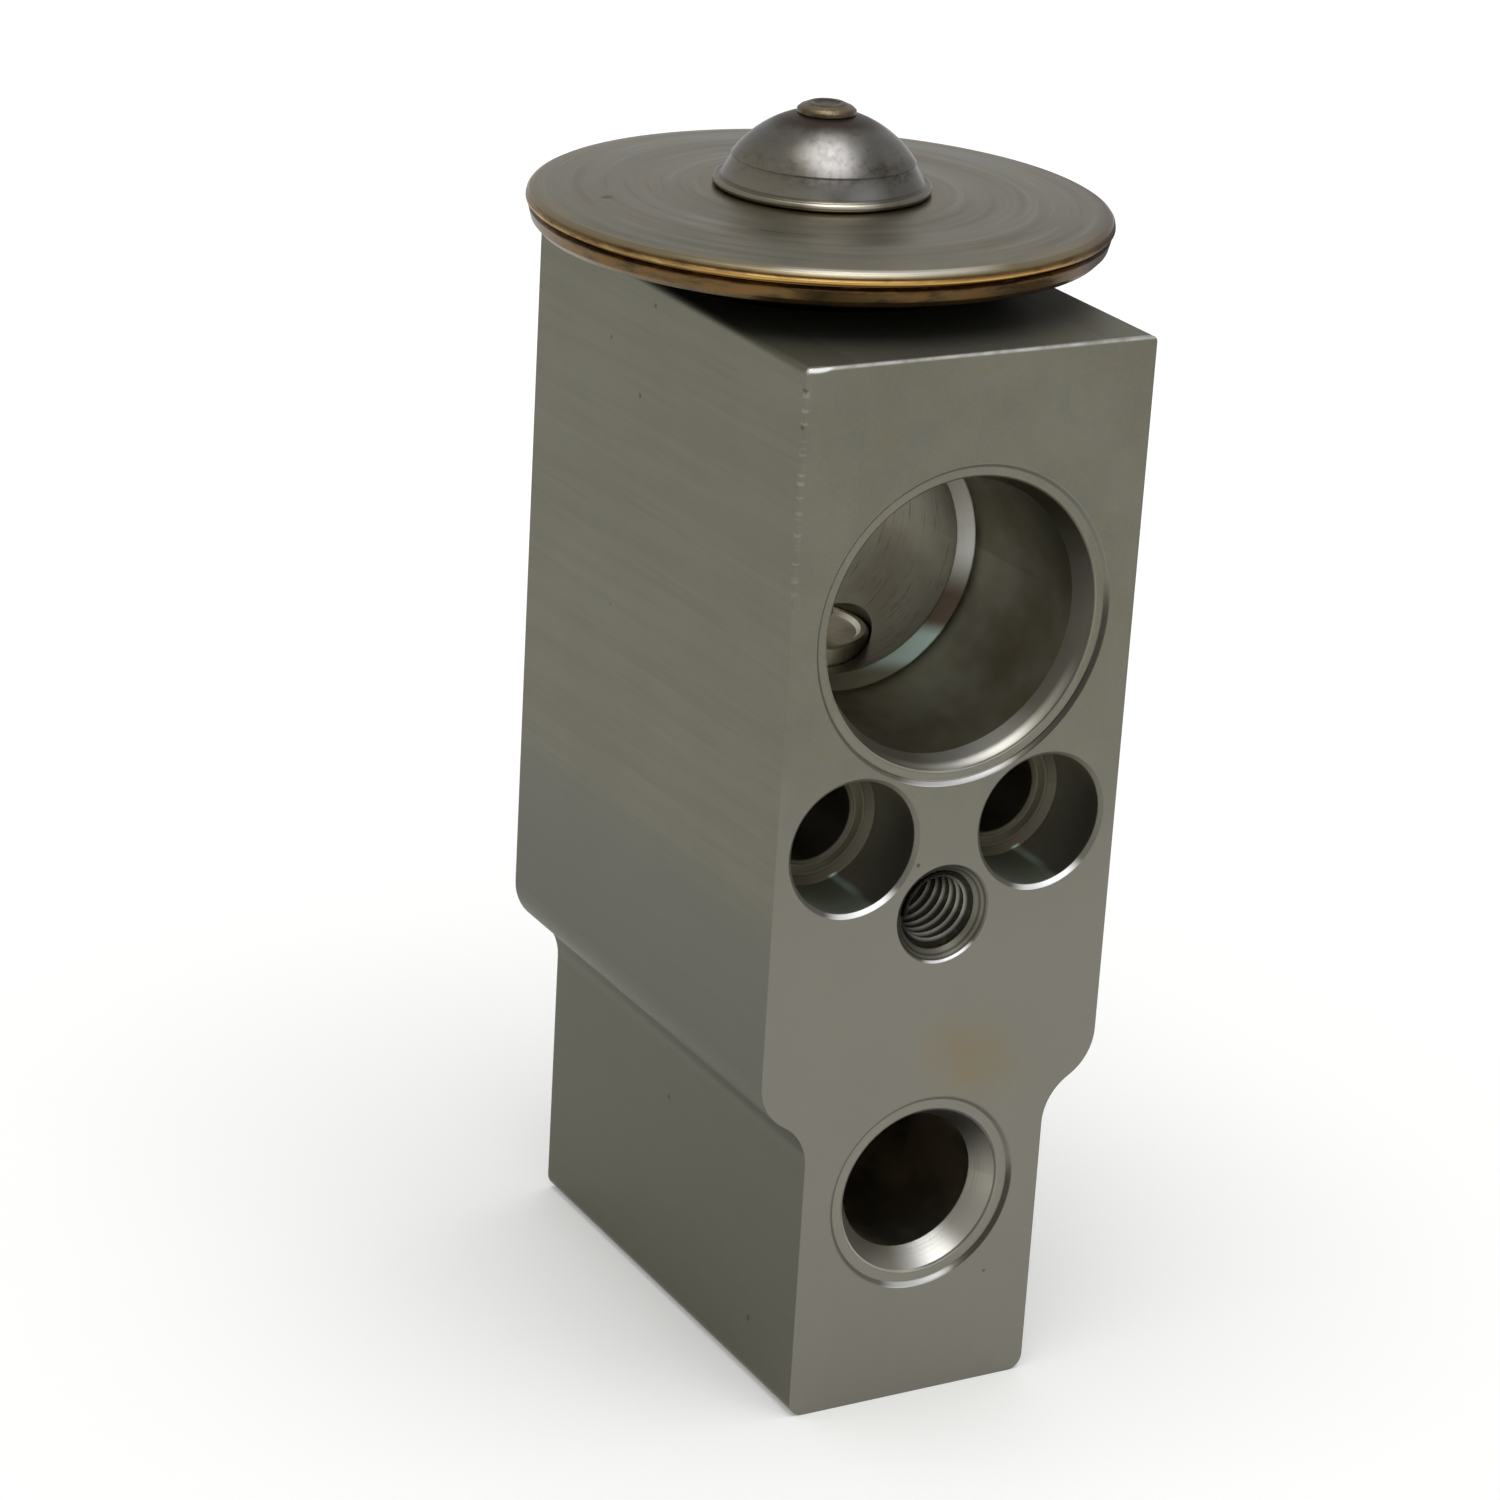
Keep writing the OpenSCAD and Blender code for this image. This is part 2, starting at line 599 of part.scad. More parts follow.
// Follower that backs the diaphragm, with a socket for the sensing rod
module diaphragm_follower() {
    socket_r = sensing_rod_d / 2 + fit_gap / 2;
    color([0.75, 0.74, 0.7]) rotate_extrude() polygon([
        [0, follower_top],
        [follower_r - turned_bevel, follower_top],
        [follower_r, follower_top - turned_bevel],
        [follower_r, follower_bottom + pressed_bevel],
        [follower_r - pressed_bevel, follower_bottom],
        [socket_r, follower_bottom],
        [socket_r, follower_bottom + follower_socket_depth],
        [0, follower_bottom + follower_socket_depth]
    ]);
}

// Aluminium rod that crosses the suction line and carries its temperature to the diaphragm
module sensing_rod() {
    rod_r = sensing_rod_d / 2;
    grip_r = push_rod_r + fit_gap / 2;
    grip_top = sensing_rod_bottom + push_rod_grip;
    color([0.78, 0.78, 0.76]) rotate_extrude() polygon([
        [grip_r, sensing_rod_bottom],
        [rod_r - turned_bevel, sensing_rod_bottom],
        [rod_r, sensing_rod_bottom + turned_bevel],
        [rod_r, sensing_rod_top],
        [0, sensing_rod_top],
        [0, grip_top],
        [grip_r, grip_top]
    ]);
}

// Hard steel push rod between the sensing rod and the ball, with bevelled ends
module push_rod() {
    rod_top = sensing_rod_bottom + push_rod_grip;
    color([0.8, 0.8, 0.82]) rotate_extrude() polygon([
        [0, push_rod_bottom],
        [push_rod_r - pressed_bevel, push_rod_bottom],
        [push_rod_r, push_rod_bottom + pressed_bevel],
        [push_rod_r, rod_top - pressed_bevel],
        [push_rod_r - pressed_bevel, rod_top],
        [0, rod_top]
    ]);
}

// Pressed-in plate that keeps the rod seal down, in the floor of the suction line
module rod_seal_retainer() {
    plate_r = retainer_d / 2;
    rim_r = plate_r - retainer_rim_w;
    dish_z = retainer_top - retainer_dish;
    bore_r = push_rod_r + 2 * running_gap;
    color([0.7, 0.69, 0.66]) rotate_extrude() polygon([
        [bore_r, retainer_seat_z],
        [plate_r, retainer_seat_z],
        [plate_r, retainer_top - retainer_bevel],
        [plate_r - retainer_bevel, retainer_top],
        [rim_r, retainer_top],
        [rim_r - retainer_dish, dish_z],
        [bore_r + turned_bevel, dish_z],
        [bore_r, dish_z - turned_bevel]
    ]);
}

// Seal ring round the push rod, between the liquid side and the suction line
module rod_seal() {
    o_ring(seal_pocket_z + fit_gap + rod_seal_cord / 2, rod_seal_r, rod_seal_cord);
}

// Steel valve ball
module valve_ball() {
    color([0.82, 0.82, 0.84]) translate([0, 0, ball_z]) sphere(r = ball_r);
}

// Turned carrier: conical cup for the ball, flange on the spring, stem inside the spring
module ball_carrier() {
    cup_floor_r = 1;
    cup_relief = 0.3;
    cup_floor_z = carrier_top - (cup_rim_r - cup_floor_r);
    flange_r = carrier_d / 2;
    stem_end = carrier_bottom - carrier_stem_h;
    color([0.76, 0.72, 0.6]) rotate_extrude() polygon([
        [0, cup_floor_z - cup_relief],
        [cup_floor_r, cup_floor_z - cup_relief],
        [cup_floor_r, cup_floor_z],
        [cup_rim_r, carrier_top],
        [flange_r, carrier_top],
        [flange_r, carrier_bottom],
        [stem_r, carrier_bottom],
        [stem_r, stem_end + turned_bevel],
        [stem_r - turned_bevel, stem_end],
        [0, stem_end]
    ]);
}

// Sheet-metal ring on the carrier with three legs that rub on the chamber wall and damp the ball
module anti_vibration_spring() {
    outer_r = chamber_d / 2 - running_gap;
    ring_r = carrier_d / 2;
    hole_margin = 0.4;
    leg_root = 0.8;
    color([0.74, 0.75, 0.77]) translate([0, 0, carrier_top]) {
        difference() {
            cylinder(h = damper_t, r = ring_r);
            translate([0, 0, -over]) cylinder(h = damper_t + 2 * over, r = cup_rim_r + hole_margin);
        }
        for (turn = [90, 210, 330]) rotate([0, 0, turn]) {
            intersection() {
                translate([ring_r - leg_root, -damper_leg_w / 2, 0]) cube([outer_r, damper_leg_w, damper_t]);
                cylinder(h = damper_t, r = outer_r);
            }
            intersection() {
                translate([ring_r - leg_root, -damper_leg_w / 2, 0])
                    cube([outer_r, damper_leg_w, damper_leg_h]);
                difference() {
                    cylinder(h = damper_leg_h, r = outer_r);
                    translate([0, 0, -over]) cylinder(h = damper_leg_h + 2 * over, r = outer_r - damper_t);
                }
            }
        }
    }
}

// Height of the spring wire's centre after a number of turns: closed end, open turns, closed end
function wire_z(turn, low, high) =
    let(tuck = spring_wire_d * 0.22, closed = spring_wire_d + 0.06, start = low + tuck, stop = high - tuck)
    turn < 1 ? start + closed * turn :
    turn > spring_turns - 1 ? stop - closed * (spring_turns - turn) :
    start + closed + (stop - start - 2 * closed) * (turn - 1) / (spring_turns - 2);

// Coil spring under the carrier, wound from round wire with both ends closed and ground flat
module superheat_spring() {
    low = adjuster_top + seat_gap;
    high = carrier_bottom - seat_gap;
    coil_r = (spring_od - spring_wire_d) / 2;
    sides = 10;
    steps = round(spring_turns * 24);
    points = [for (i = [0:steps]) let(turn = spring_turns * i / steps, z = wire_z(turn, low, high))
        for (s = [0:sides - 1])
            let(a = 360 * s / sides, r = coil_r + spring_wire_d / 2 * cos(a))
            [r * cos(360 * turn), r * sin(360 * turn), z + spring_wire_d / 2 * sin(a)]];
    walls = [for (i = [0:steps - 1], s = [0:sides - 1])
        let(a = i * sides + s, b = i * sides + (s + 1) % sides) [a, b, b + sides, a + sides]];
    first_end = [for (s = [sides - 1:-1:0]) s];
    last_end = [for (s = [0:sides - 1]) steps * sides + s];
    color([0.55, 0.56, 0.6]) intersection() {
        polyhedron(points, concat([first_end], walls, [last_end]), convexity = 12);
        translate([0, 0, low]) cylinder(h = high - low, d = spring_od + over);
    }
}

// Screw that sets the spring's preload: hexagon socket below, seal ring groove, spigot inside the spring
module adjusting_screw() {
    land_r = adjuster_r - fit_gap;
    spigot_r = spring_inner_r - spring_play;
    thread_end = adjuster_groove_top - adjuster_groove_h;
    color([0.72, 0.66, 0.45]) difference() {
        rotate_extrude() polygon([
            [0, adjuster_z],
            [land_r - thread_bevel, adjuster_z],
            [land_r, adjuster_z + thread_bevel],
            [land_r, thread_end],
            [adjuster_groove_r, thread_end],
            [adjuster_groove_r, adjuster_groove_top],
            [land_r, adjuster_groove_top],
            [land_r, adjuster_top],
            [spigot_r, adjuster_top],
            [spigot_r, adjuster_top + spigot_h - turned_bevel],
            [spigot_r - turned_bevel, adjuster_top + spigot_h],
            [0, adjuster_top + spigot_h]
        ]);
        translate([0, 0, adjuster_z - over])
            cylinder(h = socket_depth + over, r = socket_af / sqrt(3), $fn = 6);
    }
}

// Seal ring in the adjusting screw's groove
module adjuster_o_ring() {
    o_ring(adjuster_groove_top - adjuster_groove_h / 2, adjuster_ring_r, adjuster_ring_cord);
}

block();
lower_cover();
diaphragm();
upper_cover();
charge_dome();
charge_plug();
neck_o_ring();
diaphragm_follower();
sensing_rod();
push_rod();
rod_seal_retainer();
rod_seal();
valve_ball();
ball_carrier();
anti_vibration_spring();
superheat_spring();
adjusting_screw();
adjuster_o_ring();
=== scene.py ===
"""Looks of a block-type thermostatic expansion valve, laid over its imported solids, in metres.

Lengths that end in _mm are in millimetres, because the finishes are drawn at the scale of
machining marks.
"""

import json
import math

import bpy
from mathutils import Matrix, Vector


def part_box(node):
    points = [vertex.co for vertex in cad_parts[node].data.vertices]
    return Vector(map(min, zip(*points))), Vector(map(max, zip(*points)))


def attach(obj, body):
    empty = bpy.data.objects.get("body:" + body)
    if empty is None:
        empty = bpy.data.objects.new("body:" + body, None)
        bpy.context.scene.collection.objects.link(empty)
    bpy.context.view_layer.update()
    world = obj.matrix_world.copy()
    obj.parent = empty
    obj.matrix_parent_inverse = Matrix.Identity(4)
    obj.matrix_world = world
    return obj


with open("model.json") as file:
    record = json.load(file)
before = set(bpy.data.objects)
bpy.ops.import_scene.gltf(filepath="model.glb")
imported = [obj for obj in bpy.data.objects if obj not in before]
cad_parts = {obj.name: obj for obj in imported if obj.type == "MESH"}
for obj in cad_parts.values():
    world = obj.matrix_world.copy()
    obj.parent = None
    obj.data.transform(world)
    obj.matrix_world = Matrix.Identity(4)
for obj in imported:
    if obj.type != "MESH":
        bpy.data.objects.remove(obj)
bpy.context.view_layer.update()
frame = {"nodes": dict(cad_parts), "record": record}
nodes = frame["nodes"]

# Block: one length of extruded aluminium bar, sawn to depth, with its ports, fixing holes and valve
# bore drilled and turned in it. The skin is a dull satin with drawn lines along the bar, the cut
# surfaces are brighter and carry the rings of the tool, and every edge is broken by tumbling.


def tone(red, green, blue):
    """Linear colour of three display values from 0 to 255."""
    return tuple(
        v / 12.92 if v <= 0.04045 else ((v + 0.055) / 1.055) ** 2.4
        for v in (red / 255, green / 255, blue / 255)
    ) + (1.0,)


class Value:
    """A socket of one number or place, so that maths between sockets reads as plain Python."""

    def __init__(self, finish, socket):
        self.finish = finish
        self.socket = socket

    def math(self, operation, *others):
        inputs = dict(enumerate((self, *others)))
        return self.finish.add("ShaderNodeMath", {"operation": operation}, inputs)

    def __add__(self, other):
        return self.math("ADD", other)

    __radd__ = __add__

    def __sub__(self, other):
        return self.math("SUBTRACT", other)

    def __rsub__(self, other):
        return self.math("MULTIPLY_ADD", -1.0, other)

    def __mul__(self, other):
        return self.math("MULTIPLY", other)

    __rmul__ = __mul__

    def __truediv__(self, other):
        return self.math("DIVIDE", other)

    def __gt__(self, other):
        return self.math("GREATER_THAN", other)

    def __lt__(self, other):
        return self.math("LESS_THAN", other)

    def least(self, other):
        return self.math("MINIMUM", other)

    def most(self, other):
        return self.math("MAXIMUM", other)

    def away(self):
        return self.math("ABSOLUTE")

    def across(self, other):
        """Length of the right-angled sum of two values."""
        return (self * self + other * other).math("SQRT")

    def rise(self, low, high):
        """0 below low and 1 above high, with a soft step between them."""
        settings = {"interpolation_type": "SMOOTHSTEP"}
        limits = {"Value": self, "From Min": low, "From Max": high, "To Min": 0.0, "To Max": 1.0}
        return self.finish.add("ShaderNodeMapRange", settings, limits)

    def fall(self, low, high):
        """1 below low and 0 above high, with a soft step between them."""
        return 1.0 - self.rise(low, high)

    def near(self, centre, reach):
        """1 at a value and 0 further than reach from it."""
        return (self - centre).away().fall(reach * 0.35, reach)


class Finish:
    """A material under construction. It measures in millimetres from the part's own origin."""

    def __init__(self, name):
        self.material = bpy.data.materials.new(name)
        self.material.use_nodes = True
        self.tree = self.material.node_tree
        self.tree.nodes.clear()
        place = self.add("ShaderNodeTexCoord", {}, {}, "Object")
        axes = [self.add("ShaderNodeSeparateXYZ", {}, {0: place}, i) for i in range(3)]
        self.x, self.y, self.z = (axis * 1000.0 for axis in axes)

    def add(self, kind, settings, inputs, output=0):
        """Adds one node of a type: its settings first, then the values and links of its sockets."""
        node = self.tree.nodes.new(kind)
        for name, value in settings.items():
            setattr(node, name, value)
        for name, value in inputs.items():
            if isinstance(value, Value):
                self.tree.links.new(value.socket, node.inputs[name])
            else:
                node.inputs[name].default_value = value
        return Value(self, node.outputs[output] if node.outputs else None)

    def noise(self, x, y, z, detail=3.0, roughness=0.6):
        """Soft random values round 0.5, at a place of three values."""
        place = self.add("ShaderNodeCombineXYZ", {}, {0: x, 1: y, 2: z})
        inputs = {"Vector": place, "Scale": 1.0, "Detail": detail, "Roughness": roughness}
        return self.add("ShaderNodeTexNoise", {}, inputs)

    def blend(self, mask, first, second):
        """Colour that is first where the mask is 0 and second where it is 1."""
        # A Mix node of colours takes them at its inputs 6 and 7 and gives the result at output 2
        return self.add("ShaderNodeMix", {"data_type": "RGBA"}, {0: mask, 6: first, 7: second}, 2)

    def relief(self, height, depth_mm, under):
        """Surface normal of a height from 0 to 1 that is worth depth_mm, over another normal."""
        inputs = {"Height": height, "Strength": 1.0, "Distance": depth_mm / 1000.0, "Normal": under}
        return self.add("ShaderNodeBump", {}, inputs)

    def broken_edges(self, radius_mm):
        """Surface normal with every edge rounded to a small radius."""
        return self.add("ShaderNodeBevel", {"samples": 8}, {"Radius": radius_mm / 1000.0})

    def surface(self, colour, metallic, roughness, normal):
        """Ends the material with one surface shader."""
        inputs = {
            "Base Color": colour,
            "Metallic": metallic,
            "Roughness": roughness,
            "Normal": normal,
        }
        shader = self.add("ShaderNodeBsdfPrincipled", {}, inputs)
        self.add("ShaderNodeOutputMaterial", {}, {"Surface": shader})
        return self.material


def facing(right, up, degrees):
    """1 on the side of a hole that lies that way from its centre, and 0 at right angles to it."""
    angle = math.radians(degrees)
    return (right * math.cos(angle) + up * math.sin(angle)) / right.across(up).most(0.5)


def dress(node, material):
    """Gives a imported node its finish."""
    for slot in nodes[node].material_slots:
        slot.material = material


# Sizes and places from the frame: the block's box, and the mounts of its ports and holes
block_low, block_high = (corner * 1000.0 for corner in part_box("block"))
pipe_side_mm, evaporator_side_mm = block_low.y, block_high.y
half_width_mm, base_mm, top_mm = block_high.x, block_low.z, block_high.z
mounts = {mount["name"]: mount for mount in frame["record"]["mounts"]}
heights_mm = {name: mount["pos_m"][2] * 1000.0 for name, mount in mounts.items()}
suction_mm, stud_mm = heights_mm["suction_outlet"], heights_mm["pipe_plate_thread"]
inlet_mm, outlet_mm = heights_mm["liquid_inlet"], heights_mm["liquid_outlet"]
bolt_z_mm = heights_mm["evaporator_bolts"]
bolt_x_mm = mounts["evaporator_bolts"]["dims"]["spacing_x_mm"] / 2.0
bolt_r_mm = mounts["evaporator_bolts"]["dims"]["hole_r_mm"]
thread_r_mm = mounts["pipe_plate_thread"]["dims"]["r_mm"]

# Sizes that no mount gives: foot and shoulder, the turned marks, seats and steps of the ports, the
# seats of the bolt heads, the countersink, and the bores on the valve axis, whose finish stops just
# short of the block's ends
half_foot_mm, shoulder_mm = 10.0, 22.3
suction_mark_mm, liquid_mark_mm, mark_depth_mm, mark_margin_mm = 11.7, 7.5, 0.25, 0.22
seat_end_mm, step_mm, step_behind_mm, passage_r_mm = 2.25, 16.6, 10.0, 9.0
bolt_head_r_mm, bolt_slope_mm, bolt_seat_mm, countersink_r_mm = 5.0, 6.0, 6.5, 3.8
neck_bore_r_mm, neck_bore_end_mm, chamber_r_mm, chamber_end_mm = 12.4, 60.0, 7.1, 30.0
from_end_mm = 0.05

metal = Finish("satin_extruded_aluminium")
x, y, z = metal.x, metal.y, metal.z
depth = y - pipe_side_mm
depth_behind = evaporator_side_mm - y
from_face = depth.least(depth_behind)

# How far a point is from the centre line of each hole. A hole that is open on one side only is put
# out of reach on the other.
middle_mm, out_of_reach_mm = 5.0, 100.0
to_suction = x.across(z - suction_mm)
to_inlet = x.across(z - inlet_mm) + (y > middle_mm) * out_of_reach_mm
to_outlet = x.across(z - outlet_mm) + (y < -middle_mm) * out_of_reach_mm
to_liquid = to_inlet.least(to_outlet)
bolt_x = x - ((x > 0.0) * 2.0 - 1.0) * bolt_x_mm
bolt_z = z - bolt_z_mm
to_bolt = bolt_x.across(bolt_z)
to_stud = x.across(z - stud_mm) + (y > -middle_mm) * out_of_reach_mm
to_axis = x.across(y)

# Masks of what the tools have cut, and the way each of its points faces
in_neck_bore = (to_axis < neck_bore_r_mm) * (z > neck_bore_end_mm) * (z < top_mm - from_end_mm)
in_chamber = (to_axis < chamber_r_mm) * (z < chamber_end_mm) * (z > base_mm + from_end_mm)
in_suction = to_suction < suction_mark_mm + mark_margin_mm
in_liquid = to_liquid < liquid_mark_mm + mark_margin_mm
in_ports = in_suction.most(in_liquid)
port_z = z - suction_mm * in_suction - in_liquid * ((y > 0.0) * (outlet_mm - inlet_mm) + inlet_mm)
port_low = facing(x, port_z, -75.0)
port_right = facing(x, port_z, -28.0)
bolt_low = facing(bolt_x, bolt_z, -78.0)
stud_low = facing(x, z - stud_mm, -78.0)
past_seat = depth > bolt_seat_mm + 0.1
in_fixing = to_bolt < (bolt_head_r_mm + 0.32) - past_seat * (bolt_head_r_mm - bolt_r_mm + 0.25)
in_countersink = to_stud < countersink_r_mm + 0.02
cut = in_ports.most(in_fixing).most(in_countersink).most(in_neck_bore).most(in_chamber)

# The satin skin: soft clouds of grey, lines drawn along the depth of the bar, and a fine grain
clouds = metal.noise(x * 0.14, y * 0.1, z * 0.12)
blotches = metal.noise(x * 0.5, y * 0.3, z * 0.5)
grain = metal.noise(x * 6.0, y * 6.0, z * 6.0, roughness=0.7)
drawn = metal.noise(x * 2.2, y * 0.05, z * 2.2, detail=4.0)
hairlines = metal.noise(x * 9.0, y * 0.2, z * 9.0, detail=2.0)
bands = metal.noise(y * 0.015, 0.0, z * 0.6 + y * 0.03, detail=2.0)
flank = x.away().rise(half_foot_mm - 0.2, half_foot_mm - 0.02) * from_face.rise(0.02, 0.1)

skin = metal.blend(clouds.rise(0.35, 0.65), tone(115, 113, 100), tone(121, 119, 106))
skin = metal.blend(blotches.rise(0.5, 0.72) * 0.3, skin, tone(122, 115, 92))
skin = metal.blend(blotches.fall(0.28, 0.48) * 0.3, skin, tone(108, 110, 108))
skin = metal.blend(grain.rise(0.54, 0.76) * 0.35, skin, tone(144, 142, 132))
skin = metal.blend(grain.fall(0.26, 0.44) * 0.25, skin, tone(96, 94, 84))
skin = metal.blend(drawn.rise(0.5, 0.7) * flank * 0.32, skin, tone(98, 96, 84))
skin = metal.blend(drawn.fall(0.34, 0.48) * flank * 0.2, skin, tone(134, 132, 120))
skin = metal.blend(hairlines.rise(0.62, 0.72) * flank * 0.3, skin, tone(90, 88, 78))
skin = metal.blend(bands.rise(0.42, 0.62) * flank * 0.3, skin, tone(98, 96, 82))
skin = metal.blend(flank * 0.5, skin, tone(107, 105, 90))
# Painted shade: the flanks darker towards the foot
skin = metal.blend(flank * z.fall(26.0, 42.0) * 0.75, skin, tone(93, 92, 79))
skin = metal.blend(flank * z.near(33.0, 9.0) * z.rise(24.0, 28.0) * 0.45, skin, tone(99, 101, 97))
# Painted shade along the hollow of the shoulder
skin = metal.blend(flank * z.near(shoulder_mm, 1.2) * 0.5, skin, tone(56, 54, 46))
# Painted light: the faces other than the flanks lighter low down
skin = metal.blend((1.0 - flank) * z.fall(34.0, 60.0) * 0.75, skin, tone(134, 132, 123))

# A dried drop of oil above the small port, and a few dark pits: place and radius of each
drop_x, drop_z = x - 3.2, z - 27.0
from_drop = (drop_x * 0.75 + drop_z * 0.3).across(drop_z * 0.85)
drop = from_drop.fall(0.4, 4.4) * depth.fall(0.02, 0.06) * blotches.rise(0.1, 0.6)
skin = metal.blend(drop * 0.6, skin, tone(134, 121, 90))
pits_mm = (
    (-10.0, -2.8, 16.8, 0.3),
    (-10.0, -16.9, 4.9, 0.34),
    (-14.0, -23.6, 78.9, 0.34),
    (-14.0, -23.6, 76.4, 0.26),
    (-14.0, -0.1, 71.9, 0.28),
    (-14.0, -1.8, 79.0, 0.26),
    (-14.0, 4.8, 74.9, 0.22),
    (-14.0, 3.0, 55.0, 0.14),
    (6.0, -23.75, 9.0, 0.16),
    (-2.35, -23.75, 42.9, 0.22),
    (14.0, -4.0, 48.0, 0.24),
    (-5.0, 16.85, 69.0, 0.24),
)
pits = 0.0
for pit_x, pit_y, pit_z, pit_r in pits_mm:
    to_pit = (x - pit_x).across(y - pit_y).across(z - pit_z)
    pits = to_pit.fall(pit_r * 0.3, pit_r).most(pits)
skin = metal.blend(pits * 0.7, skin, tone(56, 53, 42))

# Handling marks: long shallow scratches low on the left flank
scratch_z = z - 24.6 + (y - 1.0) * 0.11 + (blotches - 0.5) * 1.2
scratches = scratch_z.away().fall(0.03, 0.12) * (y + 1.0).away().fall(4.0, 8.0)
scratches = scratches * (x < 2.0 - half_width_mm)
skin = metal.blend(scratches * 0.4, skin, tone(142, 140, 130))

# Sawn edges: a bright line along the top of the pipe side, partly wear and partly painted
# highlight, a painted highlight at its left corner, and small nicks of the saw down the left edge
to_top_edge = depth.across(top_mm - z)
to_left_edge = (x + half_width_mm).across(depth)
nicks = metal.noise(0.0, 0.0, z * 1.9, detail=1.0).rise(0.5, 0.62)
nicks = nicks * to_left_edge.fall(0.2, 0.5) * z.rise(62.0, 68.0)
skin = metal.blend(nicks * 0.25, skin, tone(178, 182, 168))
worn_and_highlit_edge = to_top_edge.fall(0.12, 0.32) * (blotches.rise(0.3, 0.6) * 0.6 + 0.4)
skin = metal.blend(worn_and_highlit_edge * 0.75, skin, tone(204, 204, 202))
# Painted highlight at the left end of the top edge
corner_highlight = ((x + half_width_mm - 0.9) * 0.3).across(to_top_edge).fall(0.24, 0.44)
skin = metal.blend(corner_highlight * 0.9, skin, tone(244, 244, 242))

# Cut surfaces, each with its own tool: turned marks and tapered seats, drilled walls, and the
# passage behind the suction port, which is scored by the drill
reamed = to_suction.least(to_bolt + 5.0).least(to_stud + 7.0).least(to_liquid + 4.0)
rings = metal.noise(reamed * 5.0, y * 5.0, 0.0, roughness=0.7)
stains = metal.noise(x * 0.22, y * 0.16, z * 0.22, detail=2.0)
scores = metal.noise(x * 0.5, y * 3.0, z * 0.25, detail=4.0, roughness=0.75)
face_mark = in_ports * from_face.fall(mark_depth_mm - 0.01, mark_depth_mm + 0.05)
seat = in_ports * from_face.fall(seat_end_mm - 0.05, seat_end_mm + 0.03) * (1.0 - face_mark)
past_step = depth.rise(step_mm - 0.04, step_mm + 0.04)
past_step_behind = depth_behind.rise(step_behind_mm - 0.04, step_behind_mm + 0.04)
ring = depth.rise(step_mm - 1.1, step_mm - 1.0) * (1.0 - past_step)
ring_behind = depth_behind.rise(step_behind_mm - 1.1, step_behind_mm - 1.0)
ring_behind = ring_behind * (1.0 - past_step_behind)
in_passage = to_suction.rise(passage_r_mm, passage_r_mm + 0.1)
passage = in_suction * past_step * past_step_behind * in_passage
deep_liquid = in_liquid * from_face.rise(seat_end_mm - 0.05, seat_end_mm + 0.05)

wall = metal.blend(stains.rise(0.35, 0.65), tone(140, 136, 114), tone(158, 156, 138))
wall = metal.blend(clouds.rise(0.42, 0.7) * 0.6, wall, tone(122, 107, 80))
# Painted shade on the wall near the mouth, above and low on the left
by_mouth = from_face.fall(3.0, 9.0)
overhead = facing(x, port_z, 66.0).rise(0.3, 0.9)
hidden_side = facing(x, port_z, -150.0).rise(0.5, 0.9)
wall = metal.blend(overhead * by_mouth * 0.7, wall, tone(88, 84, 68))
wall = metal.blend(hidden_side * by_mouth * 0.6, wall, tone(96, 92, 78))
wall = metal.blend(rings.rise(0.58, 0.76) * 0.2, wall, tone(118, 112, 94))
oily = metal.blend(clouds.rise(0.4, 0.6), tone(150, 136, 112), tone(104, 100, 90))
wall = metal.blend(deep_liquid * 0.9, wall, oily)
wall = metal.blend(passage, wall, tone(118, 114, 98))
wall = metal.blend(passage * stains.rise(0.4, 0.6) * 0.5, wall, tone(106, 98, 80))
wall = metal.blend(passage * scores.rise(0.55, 0.66) * 0.6, wall, tone(70, 66, 54))

# The ring before each step of the suction line, with painted reflections: white above and blue
# green low down
glint = metal.blend(z.rise(56.5, 60.5), tone(112, 100, 86), tone(255, 255, 253))
glint = metal.blend(z.near(52.9, 1.9) * 0.9, glint, tone(214, 240, 234))
glint = metal.blend(z.fall(50.8, 52.0) * 0.7, glint, tone(160, 156, 142))
wall = metal.blend(in_suction * (ring + ring_behind), wall, glint)

# The tapered seats of the ports, with painted shade above and a painted highlight where they face
# up
lit = metal.blend(in_suction, tone(172, 169, 158), tone(164, 161, 148))
brightest = metal.blend(in_suction, tone(208, 207, 202), tone(196, 194, 186))
lit = metal.blend(port_low.rise(0.86, 1.0), lit, brightest)
unlit = metal.blend(in_suction, tone(92, 90, 84), tone(84, 80, 64))
wall = metal.blend(seat, wall, metal.blend(port_low.rise(-0.6, 0.35), unlit, lit))

# The shallow turned mark round each port: its floor is like the skin, and its slope has a painted
# highlight where it faces up and painted shade where it faces sideways. A line of painted shade
# runs round the right of each mouth.
mark_floor = metal.blend(grain.rise(0.1, 0.7) * 0.25, skin, tone(150, 148, 138))
wall = metal.blend(face_mark, wall, mark_floor)
on_slope = in_suction * to_suction.rise(suction_mark_mm - 0.2, suction_mark_mm - 0.12)
on_slope = on_slope + in_liquid * to_liquid.rise(liquid_mark_mm - 0.2, liquid_mark_mm - 0.12)
slope_lit = facing(x, port_z, -88.0).rise(0.9, 0.985)
slope = metal.blend(port_right.rise(0.75, 0.92), tone(124, 122, 111), tone(74, 72, 64))
slope = metal.blend(slope_lit, slope, tone(206, 206, 203))
wall = metal.blend(on_slope * face_mark, wall, slope)
mouth_edge = in_ports * from_face.near(mark_depth_mm + 0.11, 0.09) * port_right.rise(0.3, 0.7)
wall = metal.blend(mouth_edge * 0.8, wall, tone(74, 72, 64))
